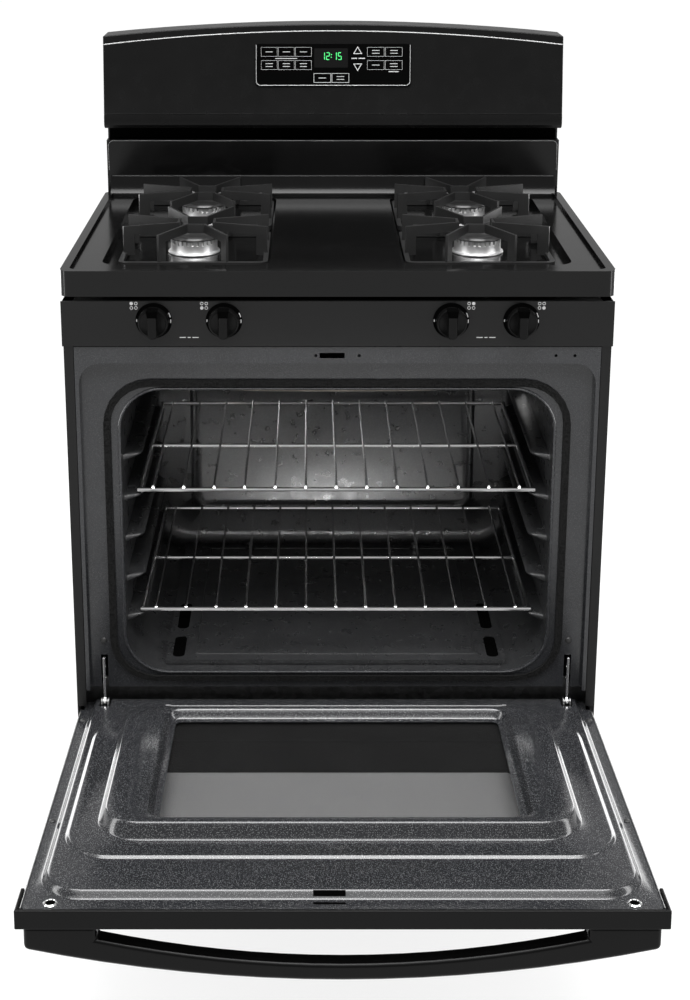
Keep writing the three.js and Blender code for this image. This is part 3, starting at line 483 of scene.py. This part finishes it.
def door_hardware():
    """Screws round the door liner, the two sockets by its corners, and dark plates that paint the shade inside the
    sockets and the latch slots.
    """
    flange = LINER_LEVELS[0]
    bm = bmesh.new()
    for side in (-1, 1):
        for x, z in ((364.5, 40), (365.5, 330)):
            screw_head(bm, (side * x, flange, z), 4.2, 2.0)
    piece("liner_screws", bm, DOOR, "foot_plastic", "door")

    bm = bmesh.new()
    socket_x, socket_z = 339, 521
    for side in (-1, 1):
        profile = [[5.4, 0], [5.4, 0.8], [6.2, 1.8], [7.2, 1.8], [8.6, 0.5], [8.6, 0]]
        lathe(bm, profile, (side * socket_x, flange, socket_z), "y", 32)
    piece("liner_sockets", bm, DOOR, "rack_chrome", "door")

    # Dark plates paint the shade inside the two sockets and the latch slots.
    bm = bmesh.new()
    latch_left, latch_right = -34, 4
    for side in (-1, 1):
        lathe(bm, [[5.4, 0.1], [5.4, 1.2]], (side * socket_x, flange, socket_z), "y", 24)
    slot_on_flange = rounded_rectangle((latch_left, 518.8), (latch_right, 523), 1.8)
    plate(bm, slot_on_flange, flange - 0.5, flange + 0.25)
    slot_on_step = [(-7.4, 511.6), (-1.7, 507.8), (-2.7, 506.8), (-8.2, 510.6)]
    loft(bm, [[(x, y, z) for y, z in slot_on_step] for x in (latch_left, latch_right)],
         first_cap=True, last_cap=True)
    piece("liner_opening_shade", bm, DOOR, "shade_and_print_black", "door")


def screw_head(bm, centre, radius, height, outwards=1):
    """A domed screw head whose axis is y."""
    profile = [[radius, 0], [radius, height * 0.35], [radius * 0.75, height * 0.85],
               [radius * 0.3, height], [0, height]]
    lathe(bm, [[r, outwards * along] for r, along in profile], centre, "y", 20)


def window_screen():
    """The dotted screen on the inside of the outer pane, whose pale ground paints the bright floor seen through
    the glass, and a dark plate below it that paints the shade seen in the far part of the window.
    """
    bm = bmesh.new()
    pane_back = -DOOR_FACE + 5.5
    depth = pane_back + 0.2
    plate(bm, rounded_rectangle((-236, 168), (236, 376), 6), depth + 0.4, depth)
    piece("window_screen", bm, DOOR, "window_screen", "door")

    # Dark plate: painted shade seen through the far part of the window.
    bm = bmesh.new()
    plate(bm, rounded_rectangle((-243, 73), (243, 167.6), 6), depth + 0.4, depth)
    piece("window_painted_shade", bm, DOOR, "shade_and_print_black", "door")


# ------------------------------------------------------------------ burners

BURNER_X = 208               # burners left and right of the middle
BURNER_ROWS = {"front": 192, "rear": 427}
BURNER_SEAT = 896.4          # underside of a head's rim, just over the basin's floor
BURNER_CROWN = 917.6         # top of the teeth
PORTS = 28
PORT_HEIGHT = 6.5
TOOTH = {"inner": 29, "outer": 34.2, "half": 2.4}
IGNITER_BACK = 37.5          # from a burner's axis to its igniter's


def burner(place, x, y):
    """A toothed aluminium head with its igniter, under an enamelled cap."""
    bm = bmesh.new()
    seat, crown = BURNER_SEAT, BURNER_CROWN
    shoulder = crown - PORT_HEIGHT
    lathe(bm, [[20, 884], [26, 884], [26, seat], [38, seat], [38, seat + 2], [35.4, seat + 3.4],
               [34.2, seat + 6], [34.2, shoulder], [30.5, shoulder], [30.5, crown], [20, crown]], (x, y, 0))
    for i in range(PORTS):
        turn = 2 * math.pi * (i + 0.5) / PORTS
        out = Vector((math.cos(turn), math.sin(turn), 0))
        side = Vector((-out.y, out.x, 0))
        base = Vector((x, y, 0))
        inner, outer, half = TOOTH["inner"], TOOTH["outer"], TOOTH["half"]
        tooth = [base + out * r + side * w
                 for r, w in ((inner, -half), (outer, -half), (outer, half), (inner, half))]
        loft(bm, [[point + Vector((0, 0, z)) for point in tooth] for z in (shoulder - 1, crown)],
             first_cap=True, last_cap=True)
    soften(piece(f"burner_crown_{place}", bm, BODY, "burner_aluminium", "range_body",
                 [f"burner_head_{place}"]), 0.5, 2)

    bm = bmesh.new()
    lathe(bm, [[24, 912.5], [24, 918], [36.2, 918], [36.5, 919.4], [35.6, 921.4], [32.8, 923.2],
               [27, 924.2], [25.4, 923.8], [24.4, 924.4], [14, 925.4], [0, 925.5]], (x, y, 0), "z", 64)
    piece(f"domed_cap_{place}", bm, BODY, "grate_enamel", "range_body", [f"burner_cap_{place}"])

    bm = bmesh.new()
    lathe(bm, [[3.4, seat], [3.4, 903], [2.6, 905], [2.6, 911], [0, 911]], (x, y + IGNITER_BACK, 0), "z", 16)
    piece(f"igniter_ceramic_{place}", bm, BODY, "white_ceramic", "range_body")

    bm = bmesh.new()
    bar(bm, [(x, y + IGNITER_BACK, z) for z in (910, 915)], 0.9, 8)
    piece(f"igniter_tip_{place}", bm, BODY, "stem_steel", "range_body")


# ------------------------------------------------------------------ knobs and their marks

KNOB_CENTRES = (-251.5, -155.4, 155.4, 251.5)
KNOB_HEIGHT = 845
PANEL_FACE = -2.3            # front face of the knob panel


def knob(number, x):
    """A round skirt with a tapered grip across it, and a dark block at the top of the grip that paints the shade
    of its notch.
    """
    bm = bmesh.new()
    lathe(bm, [[6, -8.2], [20.3, -8.2], [21.4, -9.4], [21.1, -16], [20.2, -18.2], [18.8, -19],
               [17.2, -18.2], [6, -17.6]], (x, 0, KNOB_HEIGHT), "y", 64)
    loops = []
    grip = ((-16, 7.6, 19.6), (-20, 7.4, 19.4), (-31, 6.2, 18.8), (-33.2, 5.2, 18.2))
    for depth, half_x, half_z in grip:
        outline = rounded_rectangle((x - half_x, KNOB_HEIGHT - half_z), (x + half_x, KNOB_HEIGHT + half_z),
                                    min(half_x * 0.8, 4.4))
        loops.append([(a, depth, b) for a, b in outline])
    loft(bm, loops, first_cap=True, last_cap=True)
    soften(piece(f"knob_grip_{number}", bm, BODY, "black_plastic", f"knob_{number}", [f"knob_{number}"]),
           0.8, 2)

    # A dark block paints the shade in the notch at the top of the grip.
    bm = bmesh.new()
    notch_foot, notch_top = KNOB_HEIGHT + 11.5, KNOB_HEIGHT + 21.4
    notch = [(x - 6.2, notch_foot), (x + 6.2, notch_foot), (x + 7.8, notch_top), (x - 7.8, notch_top)]
    plate(bm, notch, -33.6, -15)
    soften(piece(f"knob_notch_shade_{number}", bm, BODY, "shade_and_print_black", f"knob_{number}"), 0.6, 2)


def disc(bm, centre, outer, inner, depths, sides=32):
    """A flat ring across y, or a filled disc where its inner radius is nothing."""
    near, far = depths
    circles = [(outer, far), (outer, near)]
    if inner:
        circles += [(inner, near), (inner, far), (outer, far)]
    turns = [2 * math.pi * i / sides for i in range(sides)]
    loft(bm, [[(centre[0] + r * math.cos(a), y, centre[1] + r * math.sin(a)) for a in turns]
              for r, y in circles], first_cap=not inner, last_cap=not inner)


def panel_marks():
    """Black rings with white ticks behind the knobs, signs of their burners, and bars for words."""
    bm = bmesh.new()
    for x in KNOB_CENTRES:
        disc(bm, (x, KNOB_HEIGHT), 25, 12, (PANEL_FACE - 0.5, PANEL_FACE + 0.05), 64)
    piece("knob_rings", bm, BODY, "shade_and_print_black", "range_body")

    bm = bmesh.new()
    depths = (PANEL_FACE - 0.62, PANEL_FACE + 0.05)
    tick_ring, tick_half = 23.3, 0.6

    def arc(x, start, end, steps=6):
        """A white arc on a knob's ring, between two angles in degrees."""
        turns = [math.radians(start + (end - start) * i / steps) for i in range(steps + 1)]
        shape = [(tick_ring + tick_half, turn) for turn in turns]
        shape += [(tick_ring - tick_half, turn) for turn in reversed(turns)]
        plate(bm, [(x + r * math.cos(t), KNOB_HEIGHT + r * math.sin(t)) for r, t in shape], *depths)

    for index, x in enumerate(KNOB_CENTRES):
        for start, end in ((176, 184), (-8, 4), (12, 28), (264, 276)):
            arc(x, start, end)
        outwards = -1 if x < 0 else 1
        lit_cell = (0, 2, 3, 1)[index if index < 2 else 5 - index]
        for cell in range(4):
            across = -3.1 if cell % 2 == 0 else 3.1
            up = 3.1 if cell < 2 else -3.1
            disc(bm, (x + outwards * 27 + across, KNOB_HEIGHT + 21 + up), 2.3,
                 0 if cell == lit_cell else 1.6, depths, 16)
    word_height, word_half = KNOB_HEIGHT - 24, 0.55
    for x in (-203.5, 203.5):
        for start, end in ((-13, -4.5), (-2, 2), (4.5, 13)):
            block(bm, (x + start, depths[0], word_height - word_half),
                  (x + end, depths[1], word_height + word_half))
    piece("panel_marks", bm, BODY, "white_print", "range_body")


# ------------------------------------------------------------------ console

CROWN = 1191                 # top of the console at its middle
CROWN_END = 1172             # and at its ends
CONSOLE_HALF = 377
CONSOLE_FOOT = (534.5, 1047)  # depth and height where the leaning face starts
BEAD_HALF = 375.5
BEAD_CROWN = 1180.5          # height of the bead that paints the crown's highlight, at its middle
BEAD_STEPS = 48
GLASS_FRONT = -1.25          # from the glass's middle to its front, in FACE
PRINT_BACK = GLASS_FRONT + 0.05   # print and digits start just inside the glass
# The lit strokes of each digit: a is the top one, b to f follow clockwise, g is the middle one.
SEGMENTS = {"1": "bc", "2": "abged", "5": "afgcd"}


def console_trim():
    """A pale bead along the console's crown that paints the highlight on its moulding, the bright edges below it,
    and a dark plate that paints the shade in the vent.
    """
    rise = CROWN - CROWN_END
    radius = (CONSOLE_HALF ** 2 + rise ** 2) / (2 * rise)
    foot_depth, foot_height = CONSOLE_FOOT
    points = []
    for i in range(BEAD_STEPS + 1):
        x = -BEAD_HALF + 2 * BEAD_HALF * i / BEAD_STEPS
        z = BEAD_CROWN - radius + math.sqrt(radius ** 2 - x ** 2) - 3 * (x / CONSOLE_HALF) ** 2
        y = foot_depth + (z - foot_height) * math.tan(FACE_LEAN) - 0.1
        points.append((x, y, z))
    # A pale bead paints the highlight along the moulding of the crown.
    bm = bmesh.new()
    bar(bm, points, 0.8, 8)
    piece("crown_highlight_bead", bm, BODY, "pale_line_and_highlight", "range_body")

    bm = bmesh.new()
    bar(bm, [(x, 548.6, 939.6) for x in (-368, 0, 368)], 1.8, 16)
    piece("riser_rim", bm, BODY, "polished_edge", "range_body")

    bm = bmesh.new()
    half, low, high, corner = 373, 950, 999.6, 8
    turns = [math.pi / 2 * i / 6 for i in range(7)]
    path = [(-half, low)]
    path += [(-half + corner * (1 - math.cos(t)), high - corner * (1 - math.sin(t))) for t in turns]
    path += [(half - corner * (1 - math.sin(t)), high - corner * (1 - math.cos(t))) for t in turns]
    path += [(half, low)]
    bar(bm, [(x, 551.8, z) for x, z in path], 0.5, 8)
    piece("splash_edge", bm, BODY, "polished_edge", "range_body")

    # A dark plate paints the shade in the vent under the console.
    bm = bmesh.new()
    block(bm, (-373, 574.4, 1001.6), (373, 575.4, 1022.2))
    piece("vent_shade", bm, BODY, "shade_and_print_black", "range_body")

    bm = bmesh.new()
    bar(bm, [(x, foot_depth - 0.3, foot_height) for x in (-BEAD_HALF, 0, BEAD_HALF)], 0.8, 8)
    piece("console_break", bm, BODY, "console_plastic", "range_body")


def control_print():
    """The buttons and marks on the control glass. Short bars stand where the real one has words."""
    bm = bmesh.new()
    front, back = GLASS_FRONT - 0.15, PRINT_BACK

    def fill(x0, x1, z0, z1):
        block(bm, (x0, front, z0), (x1, back, z1))

    def button(x0, x1, z0, z1, line=0.4, words=1):
        """A rectangle of thin lines, with bars across its middle."""
        fill(x0, x1, z0, z0 + line)
        fill(x0, x1, z1 - line, z1)
        fill(x0, x0 + line, z0 + line, z1 - line)
        fill(x1 - line, x1, z0 + line, z1 - line)
        middle, reach = (x0 + x1) / 2, (x1 - x0) * 0.22
        for i in range(words):
            level = (z0 + z1) / 2 + (i - (words - 1) / 2) * 4.6
            fill(middle - reach, middle + reach, level - 0.5, level + 0.5)

    rows = ((13.6, 28.6, 1), (-7.8, 7.2, 2))
    for low, high, words in rows:
        for i in range(3):
            x0 = -118 + 28 * i
            button(x0, x0 + 26.6, low, high, words=words)
    for low, high, words in ((13.6, 28.6, 2), (-7.8, 7.2, 1)):
        for i in range(2):
            x0 = 55.7 + 29.6 * i
            button(x0, x0 + 28, low, high, words=words + i * (words == 1))
    for i in range(2):
        x0 = -31.9 + 29.6 * i
        button(x0, x0 + 28.4, -28.9, -13.6, line=0.7, words=1 + i)
    fill(-95, -59, 9.8, 10.9)
    fill(30, 39, 9.8, 11.4)
    fill(42, 52, 9.8, 11.4)
    fill(91, 107, -11.6, -10.2)

    for z0, direction in ((17.7, 1), (2.2, -1)):
        line = 0.9
        tip, foot = z0 + 12.5 * direction, z0
        outer = [(32.7, foot), (47.5, foot), (40.1, tip)]
        centre = (40.1, (2 * foot + tip) / 3)
        inner = [(centre[0] + (x - centre[0]) * 0.72, centre[1] + (z - centre[1]) * 0.72)
                 for x, z in outer]
        ring = [[(x, y, z) for x, z in shape] for shape, y in
                ((outer, back), (outer, front), (inner, front), (inner, back))]
        loft(bm, ring)
        loft(bm, [ring[-1], ring[0]])
    piece("control_print", bm, FACE, "white_print", "range_body")


def control_border():
    """The bright line round the sides and foot of the control glass."""
    bm = bmesh.new()
    side, low, high, corner, line = 126, -33.2, 32.5, 7, 0.9
    turns = [math.pi / 2 * i / 8 for i in range(9)]
    path = [(-side, high)]
    path += [(-side + corner - corner * math.cos(t), low + corner - corner * math.sin(t)) for t in turns]
    path += [(side - corner + corner * math.sin(t), low + corner - corner * math.cos(t)) for t in turns]
    path += [(side, high)]
    bar(bm, [(x, GLASS_FRONT, z) for x, z in path], line / 2, 8)
    piece("control_border", bm, FACE, "pale_line_and_highlight", "range_body")


def clock():
    """The clock's dark window, and the time on it in seven-segment digits."""
    bm = bmesh.new()
    plate(bm, rounded_rectangle((-31, -4.3), (24.1, 26.7), 1.5), GLASS_FRONT - 0.08, PRINT_BACK)
    piece("clock_display", bm, FACE, "display_glass", "range_body")

    bm = bmesh.new()
    x = -19.5
    height, width, stroke = 12.4, 6.0, 1.25
    base = 8.0
    front, back = GLASS_FRONT - 0.22, PRINT_BACK
    for character in "12:15":
        if character == ":":
            for z in (base + 3.6, base + 8.0):
                block(bm, (x, front, z), (x + 1.4, back, z + 1.4))
            x += 3.6
            continue
        levels = {"a": height - stroke, "g": (height - stroke) / 2, "d": 0}
        for segment in SEGMENTS[character]:
            if segment in levels:
                z = base + levels[segment]
                block(bm, (x + 0.9, front, z), (x + width - 0.9, back, z + stroke))
            else:
                at_x = x + (width - stroke if segment in "bc" else 0)
                at_z = base + (height / 2 if segment in "bf" else 0) + 0.5
                block(bm, (at_x, front, at_z), (at_x + stroke, back, at_z + height / 2 - 1.0))
        x += width + 1.9
    piece("clock_digits", bm, FACE, "green_digit", "range_body")


# ------------------------------------------------------------------ oven details

# The cavity's lowest and highest corners in (x, z), and the radius of its corners.
CAVITY = {"low": (-304, 310), "high": (304, 741), "corner": 60}
CAVITY_FRONT = 14.8
CAVITY_REAR = 478.5
RACK_LEVELS = [385.5 + 62.3 * i for i in range(5)]


def cavity_outline(inset, depth):
    """The cavity's rounded outline, set in towards its middle, at a depth."""
    low, high = CAVITY["low"], CAVITY["high"]
    outline = rounded_rectangle((low[0] + inset, low[1] + inset), (high[0] - inset, high[1] - inset),
                                max(CAVITY["corner"] - inset, 22))
    return [(x, depth, z) for x, z in outline]


def oven_cavity():
    """The enamelled liner, with rounded rear edges and a ridge pressed in its back."""
    wall, fillet = 1.2, 26
    inner = [(0, CAVITY_FRONT), (0, 60), (0, CAVITY_REAR - fillet)]
    for i in range(1, 9):
        turn = math.pi / 2 * i / 8
        inner.append((fillet * (1 - math.cos(turn)), CAVITY_REAR - fillet * (1 - math.sin(turn))))
    for inset, rise in ((64, 0), (66, 1.6), (68, 3), (70, 3.6), (72, 3), (74, 1.6), (76, 0)):
        inner.append((inset, CAVITY_REAR - rise))
    outer = [(-wall, CAVITY_FRONT), (-wall, CAVITY_REAR + wall)]
    bm = bmesh.new()
    inside = loft(bm, [cavity_outline(*step) for step in inner], last_cap=True)
    outside = loft(bm, [cavity_outline(*step) for step in outer], last_cap=True)
    count = len(inside[0])
    for i in range(count):
        j = (i + 1) % count
        bm.faces.new((inside[0][i], inside[0][j], outside[0][j], outside[0][i]))
    piece("oven_cavity", bm, BODY, "oven_porcelain", "range_body", ["oven_liner"])


def rack_guides():
    """Round-nosed ridges on both side walls, tapered at their ends, that carry the racks."""
    bm = bmesh.new()
    wall, reach, height = 304.4, 25.5, 10
    start, end, ramp = 42, 460, 26
    stations = [start + ramp * i / 6 for i in range(7)] + [end - ramp * i / 6 for i in range(6, -1, -1)]
    for side in (-1, 1):
        for level in RACK_LEVELS:
            loops = []
            for y in stations:
                t = min(min(y - start, end - y) / ramp, 1)
                out = reach * max(math.sin(t * math.pi / 2), 0.02)
                loop = []
                for k in range(13):
                    turn = -math.pi / 2 + math.pi * k / 12
                    across = out * max(math.cos(turn), 0) ** 0.6
                    up = height / 2 * (math.sin(turn) - 1)
                    loop.append((side * (wall - across), y, level + up))
                loops.append(loop)
            loft(bm, loops, first_cap=True, last_cap=True)
    piece("rack_guides", bm, BODY, "oven_porcelain", "range_body")


def oven_details():
    """Screws of frame and back wall, dark plates that paint the shade under the floor's slots, the floor's ribs,
    and the oven's rolled lip.
    """
    bm = bmesh.new()
    for side in (-1, 1):
        screw_head(bm, (side * 337, 13, 359), 4.5, 2.4, outwards=-1)
        screw_head(bm, (side * 110, CAVITY_REAR, 520), 4.5, 2.4, outwards=-1)
    piece("oven_screws", bm, BODY, "foot_plastic", "range_body")

    # Dark plates just under the floor's slots paint the shade seen through them.
    bm = bmesh.new()
    slot_x, slot_half, slot_low, slot_high = 232, 10, 316.0, 316.4
    for side in (-1, 1):
        for start, end in ((42, 110), (135, 225)):
            block(bm, (side * slot_x - slot_half, start - 1, slot_low),
                  (side * slot_x + slot_half, end + 1, slot_high))
    piece("floor_slot_shade", bm, BODY, "shade_and_print_black", "range_body")

    bm = bmesh.new()
    for side in (-1, 1):
        lathe(bm, [[5.2, 320.8], [5.4, 326.4], [3, 327.4], [0, 327.4]], (side * 140, 440, 0), "z", 20)
    piece("thumb_screws", bm, BODY, "rack_chrome", "range_body")

    bm = bmesh.new()
    rib_x, rib_front, rib_rear, rib_height, rib_radius = 206, 52, 440, 317.8, 1.2
    for side in (-1, 1):
        along = [(side * rib_x, y, rib_height) for y in (rib_front, 250, rib_rear)]
        bar(bm, along, rib_radius, 8)
    for y in (rib_front, rib_rear):
        bar(bm, [(x, y, rib_height) for x in (-rib_x, 0, rib_x)], rib_radius, 8)
    piece("floor_ribs", bm, BODY, "oven_porcelain", "range_body")

    bm = bmesh.new()
    ring_bead(bm, (-305.5, 308.5), (305.5, 742.5), 61.5, 12.6, 2.2)
    piece("mouth_lip", bm, BODY, "shaded_frame_porcelain", "range_body")


# ------------------------------------------------------------------ CAD nodes that are shown

def smooth_by_angle():
    """A modifier's node group that shades faces smooth except over sharp edges."""
    group = bpy.data.node_groups.new("smooth by angle", "GeometryNodeTree")
    for in_out in ("INPUT", "OUTPUT"):
        group.interface.new_socket("Geometry", in_out=in_out, socket_type="NodeSocketGeometry")
    nodes, links = group.nodes, group.links
    start = nodes.new("NodeGroupInput")
    bare = nodes.new("GeometryNodeRemoveAttribute")
    bare.inputs["Name"].default_value = "custom_normal"
    faces = nodes.new("GeometryNodeSetShadeSmooth")
    edges = nodes.new("GeometryNodeSetShadeSmooth")
    edges.domain = "EDGE"
    edges.inputs["Shade Smooth"].default_value = False
    angle = nodes.new("GeometryNodeInputMeshEdgeAngle")
    sharp = nodes.new("FunctionNodeCompare")
    sharp.inputs[1].default_value = SMOOTH_ANGLE
    end = nodes.new("NodeGroupOutput")
    links.new(start.outputs[0], bare.inputs["Geometry"])
    links.new(bare.outputs["Geometry"], faces.inputs["Geometry"])
    links.new(faces.outputs["Geometry"], edges.inputs["Geometry"])
    links.new(angle.outputs["Unsigned Angle"], sharp.inputs[0])
    links.new(sharp.outputs[0], edges.inputs["Selection"])
    links.new(edges.outputs["Geometry"], end.inputs[0])
    return group


SMOOTHING = smooth_by_angle()
# Edge radii of the CAD nodes whose names start like this.
EDGE_RADIUS = {
    "door_handle": 6, "door_cap": 1.5, "console_shell": 4, "splash_panel": 1.5, "control_panel": 1.2,
    "drawer_front": 3, "door_skin": 1.5, "control_glass": 0.8, "cooktop": 2.5, "side_panel": 0.5,
    "grate": 0.9, "oven_front_frame": 1.5, "hinge_arm": 0.3,
}


def carried_over():
    """Finishes the CAD nodes that are shown as they are."""
    slots = {part["node"]: part["material_slot"] for part in frame["record"]["subparts"]}
    for name, node in frame["nodes"].items():
        if node.hide_render:
            continue
        node.data.materials.clear()
        node.data.materials.append(LOOKS[LOOK_OF.get(name, slots[name])])
        weld = node.modifiers.new("weld", "WELD")
        weld.merge_threshold = 0.01 * MM
        flat = node.modifiers.new("flat faces", "DECIMATE")
        flat.decimate_type = "DISSOLVE"
        flat.angle_limit = math.radians(0.5)
        smoothing = node.modifiers.new("smooth", "NODES")
        smoothing.node_group = SMOOTHING
        radius = next((r for start, r in EDGE_RADIUS.items() if name.startswith(start)), None)
        if radius:
            soften(node, radius, 3)


# ------------------------------------------------------------------ camera, light and floor

def stage():
    """The camera, the surroundings, the floor and the lights."""
    scene = bpy.context.scene
    scene.view_settings.view_transform = "Standard"
    camera = bpy.data.cameras.new("camera")
    camera.lens = 60.63
    camera.sensor_width = 36
    camera.shift_x = 0.0345
    camera.shift_y = -0.2
    camera_object = bpy.data.objects.new("camera", camera)
    camera_object.location = (-0.0371, -2.2638, 1.4683)
    camera_object.rotation_euler = (math.radians(75.0), 0, 0)
    scene.collection.objects.link(camera_object)
    scene.camera = camera_object

    floor_sheet()

    world = bpy.data.worlds.new("studio")
    world.use_nodes = True
    background = world.node_tree.nodes["Background"]
    background.inputs["Color"].default_value = grey(1.0)
    background.inputs["Strength"].default_value = 0.45
    scene.world = world
    lights()


def floor_sheet():
    """The pale sheet under the range, which glows so that it stays white all over."""
    half = 20
    bm = bmesh.new()
    floor_top, floor_under = 0.0, -0.02
    for z in (floor_top, floor_under):
        bm.faces.new([bm.verts.new((x, y, z)) for x, y in
                      ((-half, -half), (half, -half), (half, half), (-half, half))])
    mesh = bpy.data.meshes.new("floor")
    bm.to_mesh(mesh)
    bm.free()
    mesh.materials.append(coated("floor_paper", grey(0.22), 0.9, 3.0, 0.05, 0.02, 900,
                                 **{"Specular IOR Level": 0.0, "Emission Color": grey(1.0),
                                    "Emission Strength": 0.82}))
    floor = bpy.data.objects.new("floor", mesh)
    bpy.context.scene.collection.objects.link(floor)


def light(name, kind, energy, location, target, **settings):
    """A light at a location, turned to shine at a target."""
    data = bpy.data.lights.new(name, kind)
    data.energy = energy
    for key, value in settings.items():
        setattr(data, key, value)
    lamp = bpy.data.objects.new(name, data)
    lamp.location = location
    lamp.rotation_euler = (Vector(target) - Vector(location)).to_track_quat("-Z", "Y").to_euler()
    bpy.context.scene.collection.objects.link(lamp)


def lights():
    """Soft light from above and both sides, rims from behind, and a weak beam into the oven."""
    light("sky", "SUN", 1.7, (0, -1, 4), (0, 0.3, 0), angle=math.radians(60))
    light("softbox_top", "AREA", 85, (0, -0.7, 3.0), (0, -0.2, 0.6), shape="RECTANGLE", size=2.6,
          size_y=1.2)
    light("softbox_front", "AREA", 52, (0, -2.0, 4.1), (0, 0, 0.6), shape="RECTANGLE", size=2.4,
          size_y=1.0)
    light("oven_beam", "AREA", 0.28, (0, -1.9, 0.56), (0, 0.25, 0.56), shape="RECTANGLE", size=0.5,
          size_y=0.26, spread=math.radians(12))
    for side in (-1, 1):
        light(f"strip_{side}", "AREA", 22, (side * 2.2, -0.6, 1.3), (0, 0, 0.7),
              shape="RECTANGLE", size=0.5, size_y=2.2)
        light(f"rim_{side}", "AREA", 18, (side * 1.5, 1.7, 0.75), (side * 0.3, -0.3, 0.3),
              shape="RECTANGLE", size=0.8, size_y=1.4)


door_liner()
door_hardware()
window_screen()
for row, y in BURNER_ROWS.items():
    for side, sign in (("left", -1), ("right", 1)):
        burner(f"{row}_{side}", sign * BURNER_X, y)
for index, x in enumerate(KNOB_CENTRES):
    knob(index + 1, x)
panel_marks()
console_trim()
control_print()
control_border()
clock()
oven_cavity()
rack_guides()
oven_details()
carried_over()
stage()
